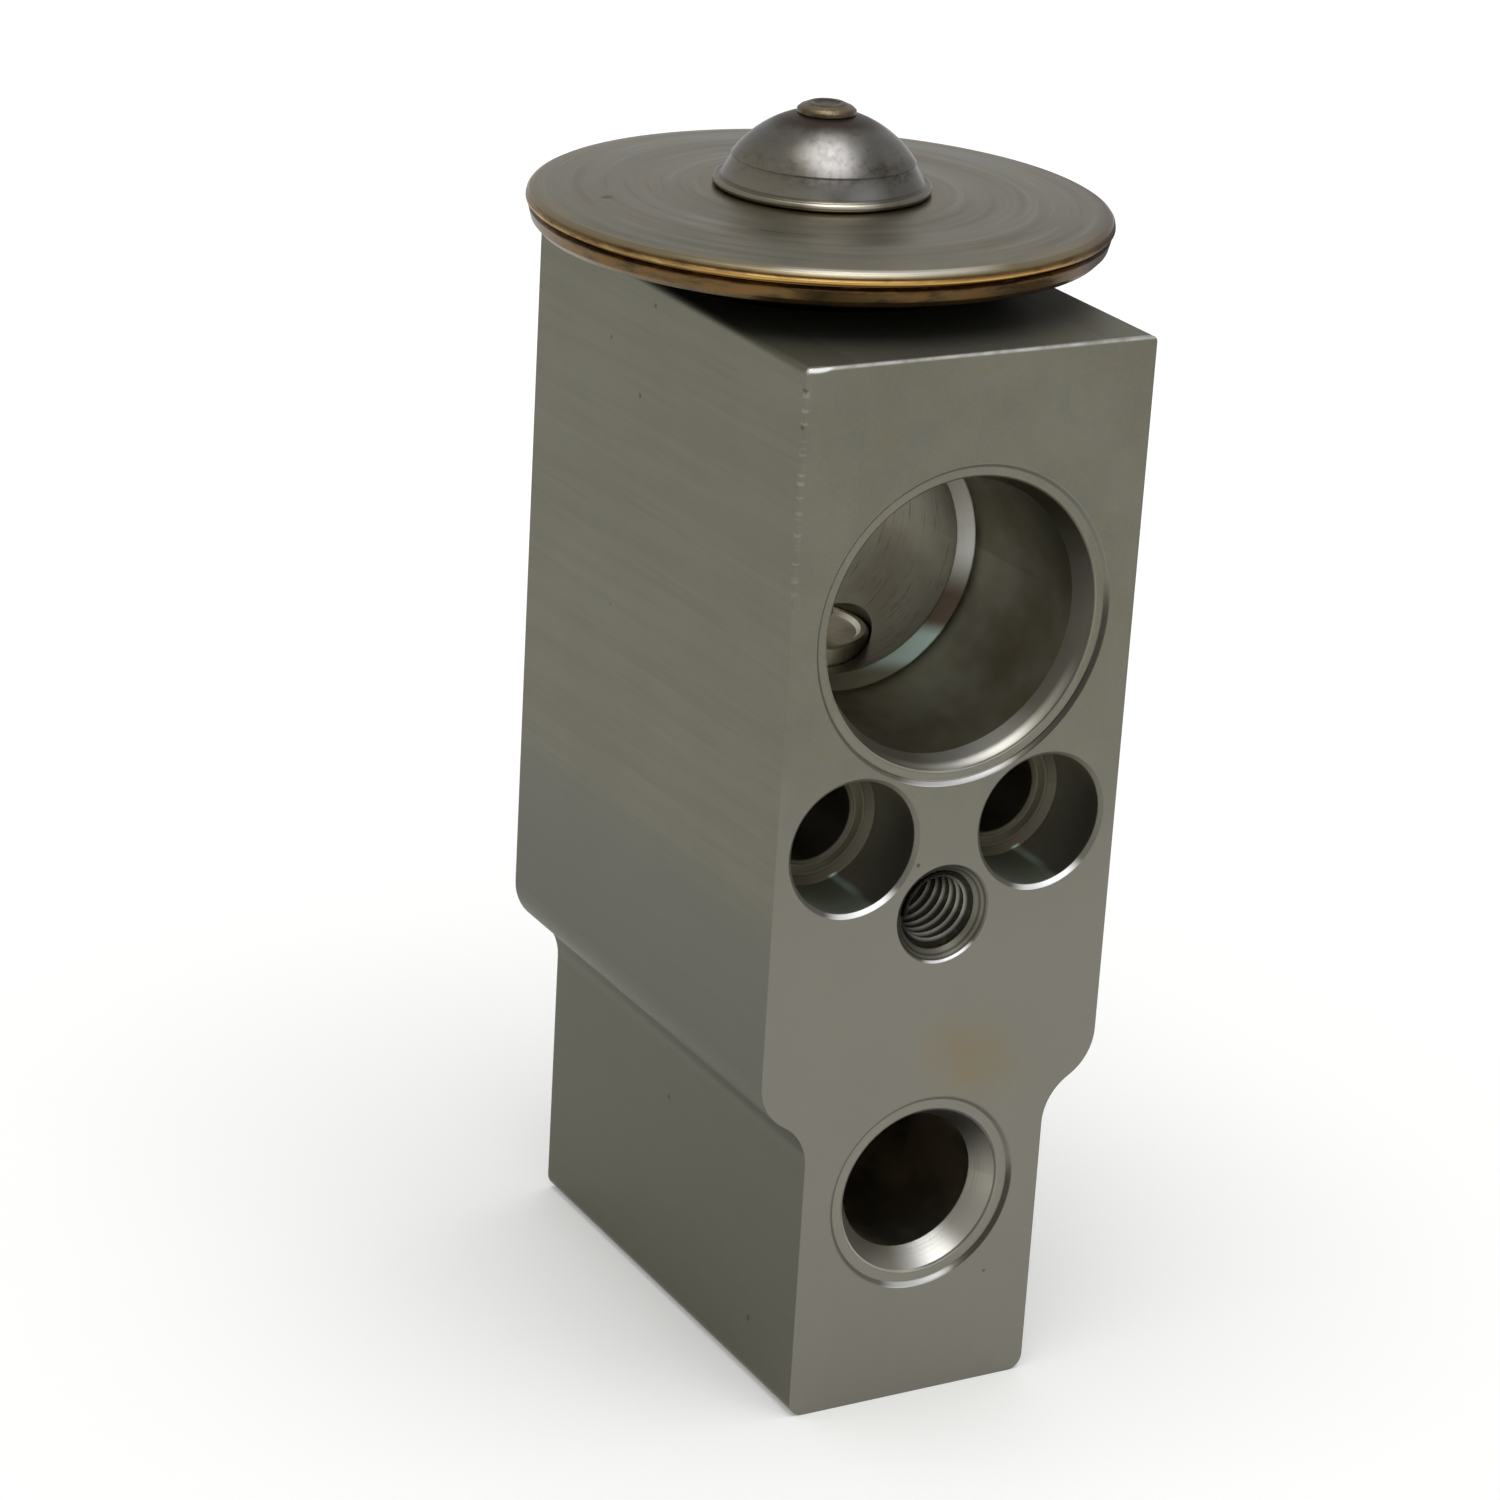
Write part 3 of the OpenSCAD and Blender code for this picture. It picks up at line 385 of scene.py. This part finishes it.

# The fixing holes: a drilled wall with painted shade near its mouth, browner on its upper side, and
# a painted reflection paler on the lower left of a painted highlight along its depth
beside_streak = bolt_x * 0.924 + bolt_z * 0.383
streak_highlight = beside_streak.away().fall(0.05, 0.5) * (bolt_z < 0.0) * depth.rise(1.4, 4.4)
streak_highlight = streak_highlight * to_bolt.rise(bolt_head_r_mm - 0.2, bolt_head_r_mm - 0.05)
shaded = metal.blend(depth.rise(0.4, 5.4), tone(100, 98, 88), tone(176, 174, 160))
bolt_high = facing(bolt_x, bolt_z, 75.0).rise(0.4, 1.0)
shaded = metal.blend(bolt_high * 0.6, shaded, tone(164, 144, 118))
fixing = metal.blend(beside_streak.fall(-0.3, 0.3) * (bolt_z < 1.0), shaded, tone(150, 158, 142))
head_seat = depth.rise(bolt_slope_mm - 0.2, bolt_slope_mm)
head_seat = head_seat * to_bolt.rise(bolt_r_mm - 0.1, bolt_r_mm)
fixing = metal.blend(head_seat, fixing, tone(116, 111, 97))
hole_edge = to_bolt.fall(bolt_r_mm + 0.02, bolt_r_mm + 0.1)
fixing = metal.blend(hole_edge * 0.8, fixing, tone(84, 80, 70))
fixing = metal.blend(rings.rise(0.54, 0.74) * 0.5, fixing, tone(80, 76, 64))
fixing = metal.blend(streak_highlight * 0.9, fixing, tone(226, 250, 240))
# Painted highlight on the lower part of each counterbore's edge
lip = metal.blend(bolt_low.rise(0.8, 0.96), tone(118, 116, 106), tone(252, 252, 252))
fixing = metal.blend((to_bolt > bolt_head_r_mm + 0.02) * depth.fall(0.3, 0.5), fixing, lip)
bolt_hole = metal.blend(stains, tone(122, 114, 98), tone(96, 92, 80))
fixing = metal.blend(past_seat, fixing, bolt_hole)
wall = metal.blend(in_fixing, wall, fixing)

# The countersink of the threaded hole: two dark tool lines, and a painted highlight on its lower
# edge
sunk = in_countersink * to_stud.rise(thread_r_mm, thread_r_mm + 0.05)
tool_lines = to_stud.near(3.34, 0.1) + to_stud.near(3.62, 0.1)
sunk_edge_highlight = to_stud.rise(3.62, 3.7) * stud_low.rise(0.8, 0.95)
wall = metal.blend(sunk, wall, tone(110, 108, 97))
wall = metal.blend(sunk * tool_lines * 0.7, wall, tone(58, 56, 48))
wall = metal.blend(sunk * sunk_edge_highlight, wall, tone(252, 252, 252))

# Shine and relief: the skin is duller than what is cut, the turned marks have a step at their edge,
# and the suction port's mouth is rolled outwards low down
skin_roughness = 0.46 + grain * 0.06 - worn_and_highlit_edge * 0.15 - corner_highlight * 0.15
cut_roughness = 0.34 + stains * 0.1 + in_fixing.most(face_mark) * 0.1
skin_height = grain * 0.6 + drawn * flank * 0.4 + hairlines * flank * 0.3 - pits * 1.5
mark_edge = to_suction.rise(suction_mark_mm - 0.17, suction_mark_mm + 0.17) * in_suction
mark_edge = mark_edge + to_liquid.rise(liquid_mark_mm - 0.17, liquid_mark_mm + 0.17) * in_liquid
bell_mouth = in_suction * from_face.fall(mark_depth_mm, 1.3) * from_face.rise(0.2, mark_depth_mm)
bell_mouth = bell_mouth * port_low.rise(0.5, 0.9)
height = skin_height * (1.0 - cut) + rings * 0.9 * cut + mark_edge * 6.0 - bell_mouth * 18.0
dress(
    "block",
    metal.surface(
        colour=metal.blend(cut, skin, wall),
        metallic=0.92,
        roughness=skin_roughness * (1.0 - cut) + cut_roughness * cut,
        normal=metal.relief(height, 0.01, metal.broken_edges(0.13)),
    ),
)

# Thread of the pipe plate's hole: a coarse screw thread tapped in the block. The solid has its
# outer diameter, and this ridge between the turns of the groove winds in from the countersink.
thread_r, crest_r, root_play = thread_r_mm / 1000, 0.00246, 0.00004
pitch, thread_turns, ridge_steps = 0.001, 12, 48
ridge_width, first_turn = 0.81, pipe_side_mm / 1000 + 0.0008
bpy.ops.object.select_all(action="DESELECT")
bpy.ops.mesh.primitive_circle_add(
    vertices=4, radius=thread_r - crest_r, location=(-thread_r, first_turn, 0)
)
thread = bpy.context.object
thread.name = "stud_hole_thread"
bpy.ops.object.mode_set(mode="EDIT")
bpy.ops.mesh.select_all(action="SELECT")
bpy.ops.transform.resize(value=(1, ridge_width, 1))
bpy.ops.object.mode_set(mode="OBJECT")
bpy.ops.object.transform_apply(location=True, rotation=True, scale=True)
for point in thread.data.vertices:
    point.co.x = max(point.co.x, -thread_r - root_play)
winding = thread.modifiers.new("winding", "SCREW")
winding.axis = "Y"
winding.angle = math.tau
winding.screw_offset = pitch
winding.iterations = thread_turns
winding.steps = winding.render_steps = ridge_steps
bpy.ops.object.modifier_apply(modifier="winding")
bpy.ops.object.mode_set(mode="EDIT")
bpy.ops.mesh.select_all(action="DESELECT")
bpy.ops.mesh.select_non_manifold()
bpy.ops.mesh.fill_holes(sides=4)
bpy.ops.mesh.select_all(action="SELECT")
bpy.ops.transform.translate(value=(0, 0, stud_mm / 1000))
bpy.ops.mesh.normals_make_consistent(inside=False)
bpy.ops.object.mode_set(mode="OBJECT")
bpy.ops.object.shade_smooth_by_angle(angle=math.radians(30))

metal = Finish("cut_thread_aluminium")
to_stud = metal.x.across(metal.z - stud_mm)
torn = metal.noise(metal.x * 2.0, metal.y * 2.0, metal.z * 2.0)
crest = to_stud.fall(2.5, 2.74)
# Painted shade in the roots of the thread, so the crests stand out lighter
ridge = metal.blend(crest, tone(36, 34, 28), tone(134, 132, 122))
thread.data.materials.append(
    metal.surface(
        colour=metal.blend(torn.rise(0.5, 0.75) * 0.15, ridge, tone(110, 107, 96)),
        metallic=0.92,
        roughness=0.22 + torn * 0.12,
        normal=metal.relief(torn, 0.004, metal.broken_edges(0.05)),
    )
)
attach(thread, "valve_body")


# Rod seal and its retainer: a rubber ring round the push rod, held down by a turned steel plate
# that is pressed into the floor of the suction line. The plate has a dished top and a rim that
# catches the light.


def turned(name, colour, dark, roughness=0.28, ring_scale=5.0, depth_mm=0.006):
    """Finish of a part turned on the valve axis: fine rings round it and slow changes of tone."""
    metal = Finish(name)
    x, y, z = metal.x, metal.y, metal.z
    rings = metal.noise(x.across(y) * ring_scale, z * ring_scale, 0.0, roughness=0.7)
    patches = metal.noise(x * 0.4, y * 0.4, z * 0.4)
    shade = metal.blend(patches.rise(0.35, 0.7), colour, dark)
    shade = metal.blend(rings.rise(0.58, 0.76) * 0.45, shade, dark)
    return metal.surface(
        colour=shade,
        metallic=0.95,
        roughness=rings * 0.12 + roughness,
        normal=metal.relief(rings, depth_mm, metal.broken_edges(0.06)),
    )


def rubber(name):
    """Finish of a moulded seal ring: black rubber with a faint bloom, wet with refrigerant oil."""
    skin = Finish(name)
    x, y, z = skin.x, skin.y, skin.z
    bloom = skin.noise(x * 0.9, y * 0.9, z * 0.9, detail=4.0)
    pores = skin.noise(x * 9.0, y * 9.0, z * 9.0, detail=2.0)
    return skin.surface(
        colour=skin.blend(bloom.rise(0.45, 0.75), tone(26, 30, 27), tone(48, 52, 48)),
        metallic=0.0,
        roughness=bloom * 0.2 + 0.42,
        normal=skin.relief(pores, 0.01, skin.broken_edges(0.03)),
    )


dress("rod_seal", rubber("rod_seal_rubber"))
retainer_steel = turned("turned_retainer_steel", tone(222, 216, 198), tone(200, 192, 172))
dress("rod_seal_retainer", retainer_steel)

# Push rod and sensing rod: a ground steel rod pressed into a turned aluminium rod, which crosses
# the suction line and feels the gas that flows past.
rod_steel = turned(
    "ground_rod_steel", tone(182, 182, 184), tone(156, 154, 150), roughness=0.16, ring_scale=9.0
)
dress("push_rod", rod_steel)
dress("sensing_rod", turned("turned_rod_aluminium", tone(180, 179, 174), tone(150, 147, 138)))

# Ball, carrier and anti-vibration spring: a polished ball brazed into a turned cup, with a pressed
# ring of spring sheet whose three legs rub on the chamber wall.
ball_steel = turned(
    "polished_ball_steel", tone(198, 198, 200), tone(176, 175, 172), roughness=0.06, depth_mm=0.001
)
dress("valve_ball", ball_steel)
dress("ball_carrier", turned("turned_carrier_steel", tone(178, 174, 160), tone(140, 133, 114)))
spring_sheet = turned(
    "spring_sheet_steel", tone(172, 173, 176), tone(136, 132, 126), roughness=0.22, ring_scale=2.0
)
dress("anti_vibration_spring", spring_sheet)

# Superheat spring: drawn spring wire, closed at both ends and ground flat there, browned by its
# heat treatment everywhere but on the ground ends.
spring_foot_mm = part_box("superheat_spring")[0].z * 1000.0
metal = Finish("browned_spring_wire")
x, y, z = metal.x, metal.y, metal.z
drawn = metal.noise(x * 3.0, y * 3.0, z * 3.0, detail=4.0)
oxide = metal.noise(x * 0.5, y * 0.5, z * 0.5)
wire = metal.blend(oxide.rise(0.35, 0.65), tone(118, 116, 116), tone(126, 108, 84))
ground = z.fall(spring_foot_mm + 0.05, spring_foot_mm + 0.1)
dress(
    "superheat_spring",
    metal.surface(
        colour=metal.blend(ground, wire, tone(178, 178, 178)),
        metallic=0.95,
        roughness=drawn * 0.12 + 0.3,
        normal=metal.relief(drawn, 0.008, metal.broken_edges(0.03)),
    ),
)

# Adjusting screw and its seal ring: turned brass with a broached hexagon socket, screwed into the
# block from below against the spring. The rubber ring seals it.
dress("adjusting_screw", turned("turned_screw_brass", tone(186, 160, 96), tone(146, 116, 60)))
dress("adjuster_o_ring", rubber("adjuster_ring_rubber"))

# Neck seal ring: a moulded rubber ring in the recess at the top of the block. It is squeezed
# between the block and the lower cover when the head is screwed in, and keeps the gas of the
# suction line inside.
dress("neck_o_ring", rubber("neck_ring_rubber"))

# Covers: two pressed stainless sheets, welded together at their rims. The lower one carries the
# threaded neck. The weld has tinted the rims from straw to bronze and, on the right, to purple.
rim_split_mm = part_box("lower_cover")[1].z * 1000.0
rim_top_mm, dark_line_mm, bead_mm = 85.55, 85.14, 84.78


def pressed_cover(name):
    """Finish of the covers: grey pressed steel, with heat tint that deepens towards the rim."""
    metal = Finish(name)
    x, y, z = metal.x, metal.y, metal.z
    radius, from_split = x.across(y), z - rim_split_mm
    patches = metal.noise(x * 0.2, y * 0.2, z * 0.2, detail=4.0)
    smears = metal.noise(radius * 1.3, x * 0.06, y * 0.06, detail=4.0)
    rings = metal.noise(radius * 3.0, 0.0, z * 3.0)
    grain = metal.noise(x * 6.0, y * 6.0, z * 6.0, roughness=0.7)
    mottle = metal.noise(x * 0.45, y * 0.45, z * 1.6, detail=4.0)

    shade = metal.blend(patches.rise(0.3, 0.7), tone(110, 105, 87), tone(121, 116, 101))
    shade = metal.blend(patches.rise(0.5, 0.66) * 0.5, shade, tone(122, 110, 84))
    shade = metal.blend(smears.rise(0.5, 0.68) * 0.5, shade, tone(86, 80, 64))
    shade = metal.blend(smears.fall(0.32, 0.46) * 0.35, shade, tone(146, 144, 134))

    # Marks on the upper face: a dark speck, and dark arcs round the centre, each with its radius,
    # half width, middle, the lengths where it is full and where it has faded, and its strength
    arcs_mm = (
        (13.1, 0.3, -8.5, -10.0, 1.4, 3.0, 0.6),
        (14.6, 0.25, -11.5, -8.8, 1.0, 2.6, 0.36),
        (10.6, 0.25, -2.0, -10.4, 1.4, 3.6, 0.3),
    )
    marks = (x + 15.9).across(y - 2.7).fall(0.25, 0.62) * 0.9
    for arc_r, arc_width, arc_x, arc_y, full, faded, strength in arcs_mm:
        along = (x - arc_x).across(y - arc_y).fall(full, faded)
        marks = marks.most(radius.near(arc_r, arc_width) * along * strength)
    shade = metal.blend(marks, shade, tone(60, 52, 42))
    weld_tint = radius.fall(8.4, 9.8) * (from_split > 0.15)
    shade = metal.blend(weld_tint * 0.4, shade, tone(118, 102, 74))

    # Heat tint of the rim: olive on the shoulder, straw and brown on the side, purple on the right
    ragged = (patches - 0.5) * 0.8
    right = (x * 0.92 + y * 0.1 + ragged * 3.0).rise(5.0, 14.0)
    shoulder = (radius + ragged).rise(19.6, 20.9)
    olive = metal.blend(right, tone(140, 126, 92), tone(84, 58, 38))
    shade = metal.blend(shoulder * (right * 0.4 + 0.5), shade, olive)
    side = z.fall(rim_top_mm - 0.42, rim_top_mm - 0.22) * radius.rise(20.0, 20.3)
    straw = metal.blend(from_split.rise(0.1, 0.4), tone(88, 62, 30), tone(150, 122, 76))
    straw = metal.blend(mottle.rise(0.5, 0.66) * 0.7, straw, tone(86, 66, 38))
    straw = metal.blend(mottle.fall(0.32, 0.46) * 0.6, straw, tone(190, 160, 104))
    shade = metal.blend(side, shade, metal.blend(right, straw, tone(46, 29, 25)))
    # Painted highlights where the rim faces the lamp: gold on the bead and silver on the shoulder,
    # with a dark line above the bead
    lit = facing(x, y, -105.0)
    gold_highlight = side * z.near(bead_mm, 0.2) * lit.rise(0.66, 0.98)
    shade = metal.blend(side * z.near(dark_line_mm, 0.2) * 0.7, shade, tone(66, 46, 26))
    shade = metal.blend(gold_highlight * 0.8, shade, tone(206, 160, 84))
    silver_highlight = lit.rise(0.9, 0.99) * radius.near(20.75, 0.45) * z.rise(85.1, 85.3)
    shade = metal.blend(silver_highlight * 0.8, shade, tone(212, 208, 194))

    # The lower rim is duller and mottled, with painted shade on its underside
    below = from_split.fall(-0.12, 0.0)
    dull = metal.blend(from_split.rise(-0.5, -0.1), tone(98, 80, 52), tone(60, 42, 24))
    dull = metal.blend(mottle.rise(0.45, 0.6) * 0.5, dull, tone(122, 88, 46))
    dull = metal.blend(mottle.fall(0.3, 0.5) * 0.7, dull, tone(58, 46, 32))
    dull = metal.blend(radius.fall(20.3, 20.7), dull, tone(40, 37, 31))
    shade = metal.blend(below, shade, metal.blend(right, dull, tone(36, 29, 31)))
    bead = z.near(bead_mm, 0.3) * radius.rise(20.6, 20.9)
    return metal.surface(
        colour=shade,
        metallic=0.95,
        roughness=patches * 0.12 + 0.27 + right * side.most(below) * 0.3,
        normal=metal.relief(rings * 0.05 + grain * 0.04 + bead, 0.12, metal.broken_edges(0.12)),
    )


cover_steel = pressed_cover("tinted_cover_steel")
dress("lower_cover", cover_steel)

# Follower and diaphragm: a turned aluminium disc on the sensing rod, and above it the thin rolled
# sheet that moves it. The sheet's edge, between the two rims, is painted dark as the shade of the
# gap, browner on the left.
follower_aluminium = turned("turned_follower_aluminium", tone(178, 177, 172), tone(150, 147, 139))
dress("diaphragm_follower", follower_aluminium)
diaphragm_r_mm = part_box("diaphragm")[1].x * 1000.0
metal = Finish("rolled_diaphragm_steel")
x, y, z = metal.x, metal.y, metal.z
rolled = metal.noise(x * 0.2, y * 6.0, z)
edge = x.across(y).rise(diaphragm_r_mm - 0.6, diaphragm_r_mm - 0.2)
toward_left = facing(x, y, -165.0).rise(0.1, 0.9)
shaded_edge = metal.blend(toward_left, tone(38, 26, 18), tone(112, 88, 52))
dress(
    "diaphragm",
    metal.surface(
        colour=metal.blend(edge, tone(150, 144, 128), shaded_edge),
        metallic=0.95,
        roughness=rolled * 0.12 + 0.24,
        normal=metal.relief(rolled, 0.004, metal.broken_edges(0.03)),
    ),
)
dress("upper_cover", cover_steel)

# Charge dome: a bright pressed cap that holds the charge, welded on at its rolled lip. The weld has
# tinted the lip, and closing the filling hole has browned the crown round the plug.
lip_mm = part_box("charge_dome")[0].z * 1000.0
metal = Finish("tinted_dome_steel")
x, y, z = metal.x, metal.y, metal.z
radius, above_lip = x.across(y), z - lip_mm
patches = metal.noise(x * 0.3, y * 0.3, z * 0.3, detail=4.0)
smears = metal.noise(x * 1.2, y * 1.2, z * 2.2, detail=4.0, roughness=0.7)
spun = metal.noise(radius * 3.0, 0.0, z * 3.0)
shade = metal.blend(patches.rise(0.3, 0.7), tone(94, 91, 85), tone(106, 103, 98))
shade = metal.blend(smears.rise(0.52, 0.7) * 0.45, shade, tone(72, 67, 60))
crown = (radius + (patches - 0.5) * 1.4).fall(3.0, 4.4)
shade = metal.blend(crown * 0.85, shade, tone(54, 38, 27))
crease = (z + (patches - 0.5) * 1.6).near(88.5, 1.1) * smears.rise(0.3, 0.75)
shade = metal.blend(crease * 0.6, shade, tone(50, 44, 36))
# Painted light on the left side, and a painted highlight of the lamp on the crown and on the skirt
left = (x * -0.85 - y * 0.2).rise(3.5, 7.5)
shade = metal.blend(left * 0.8, shade, tone(138, 132, 114))
streaks = metal.noise(x * 1.3, y * 1.3, z * 0.3, detail=2.0)
sheen_on_crown = (x + 1.9).across(y + 5.2).across(z - 89.7).fall(0.4, 3.4)
sheen_on_skirt = (x + 0.4).across(y + 7.6).across(z - 87.4).fall(0.4, 2.4)
sheen = (sheen_on_crown * (streaks.rise(0.3, 0.6) * 0.6 + 0.4)).most(sheen_on_skirt * 0.7)
shade = metal.blend(sheen * 0.65, shade, tone(160, 158, 157))
# The lip's weld tint, a painted highlight on its front, and a line of painted shade where it meets
# the skirt
lip = above_lip.fall(0.55, 0.8)
lip_lit = lip * facing(x, y, -108.0).rise(0.92, 1.0)
shade = metal.blend(lip * 0.4, shade, tone(126, 118, 100))
shade = metal.blend(lip_lit * 0.7, shade, tone(220, 213, 194))
shade = metal.blend(above_lip.near(0.68, 0.14) * 0.5, shade, tone(60, 53, 44))
dress(
    "charge_dome",
    metal.surface(
        colour=shade,
        metallic=0.95,
        roughness=patches * 0.14 + 0.24 + crown * 0.1,
        normal=metal.relief(spun * 0.4 + smears * 0.6, 0.014, metal.broken_edges(0.12)),
    ),
)

# Plug: a short steel pin with a flat head, pushed into the filling hole once the head is charged,
# and welded over it. The weld has browned it all over and left a dimple in its top.
under_head_mm = 91.7
metal = Finish("browned_plug_steel")
x, y, z = metal.x, metal.y, metal.z
radius = x.across(y)
oxide = metal.noise(x * 1.3, y * 1.3, z * 1.3, detail=4.0)
melt = metal.noise(x * 2.2, y * 2.2, z * 2.2)
shade = metal.blend(oxide.rise(0.35, 0.65), tone(96, 88, 72), tone(76, 66, 48))
shade = metal.blend(radius.fall(0.8, 1.3) * 0.6, shade, tone(48, 42, 36))
shade = metal.blend(radius.near(1.75, 0.4) * 0.5, shade, tone(132, 118, 92))
# Painted shade under the head
under_head = z.fall(under_head_mm, under_head_mm + 0.2)
shade = metal.blend(under_head * 0.8, shade, tone(34, 26, 20))
dress(
    "charge_plug",
    metal.surface(
        colour=shade,
        metallic=0.95,
        roughness=oxide * 0.16 + 0.28,
        normal=metal.relief(melt, 0.06, metal.broken_edges(0.14)),
    ),
)

# Studio: a plain pale floor, which is topped up to white far from the object, one wide soft lamp
# overhead and a little in front, and a pale surround.
bpy.ops.object.select_all(action="DESELECT")
bpy.ops.mesh.primitive_plane_add(size=8.0, location=(0, 0, 0))
floor = bpy.context.object
floor.name = "studio_floor"
paint = Finish("pale_floor")
camera_ray, glossy_ray, clear_ray = (
    paint.add("ShaderNodeLightPath", {}, {}, f"Is {kind} Ray")
    for kind in ("Camera", "Glossy", "Transmission")
)
seen = camera_ray.most(glossy_ray).most(clear_ray)
reach = paint.x.across(paint.y)
far = reach.rise(60.0, 900.0).most(camera_ray * reach.rise(20.0, 260.0) * 0.55)
matt = paint.add("ShaderNodeBsdfDiffuse", {}, {"Color": tone(242, 242, 240)})
white = (1.0, 1.0, 1.0, 1.0)
glow = paint.add("ShaderNodeEmission", {}, {"Color": white, "Strength": seen * (far * 0.36 + 0.17)})
painted = paint.add("ShaderNodeAddShader", {}, {0: matt, 1: glow})
paint.add("ShaderNodeOutputMaterial", {}, {"Surface": painted})
floor.data.materials.append(paint.material)

world = bpy.data.worlds.new("studio_surround")
world.use_nodes = True
surround = world.node_tree.nodes["Background"]
surround.inputs["Color"].default_value = white
surround.inputs["Strength"].default_value = 0.6
bpy.context.scene.world = world

softbox = bpy.data.lights.new("overhead_softbox", "AREA")
softbox.shape = "RECTANGLE"
softbox.size = 0.44
softbox.size_y = 0.54
softbox.energy = 2.1
lamp = bpy.data.objects.new("overhead_softbox", softbox)
lamp.location = (-0.04, -0.13, 0.68)
bpy.context.scene.collection.objects.link(lamp)

# Camera: where the photograph was taken from, and how it was turned, fitted to the edges of the
# block. The focal length is in pixels of the photograph.
camera_place = Vector((-0.158897, -0.274965, 0.163996))
camera_right = Vector((0.879088, -0.473395, 0.055686))
camera_up = Vector((0.123844, 0.339652, 0.932362))
photo_width_px, focal_px, sensor_mm = 1500, 4502.78, 36.0
lens = bpy.data.cameras.new("photo_camera")
lens.sensor_width = sensor_mm
lens.lens = focal_px / photo_width_px * sensor_mm
lens.clip_start = 0.01
camera = bpy.data.objects.new("photo_camera", lens)
turn = Matrix((camera_right, camera_up, camera_right.cross(camera_up))).transposed()
camera.matrix_world = Matrix.Translation(camera_place) @ turn.to_4x4()
bpy.context.scene.collection.objects.link(camera)
bpy.context.scene.camera = camera
bpy.context.scene.view_settings.view_transform = "Standard"
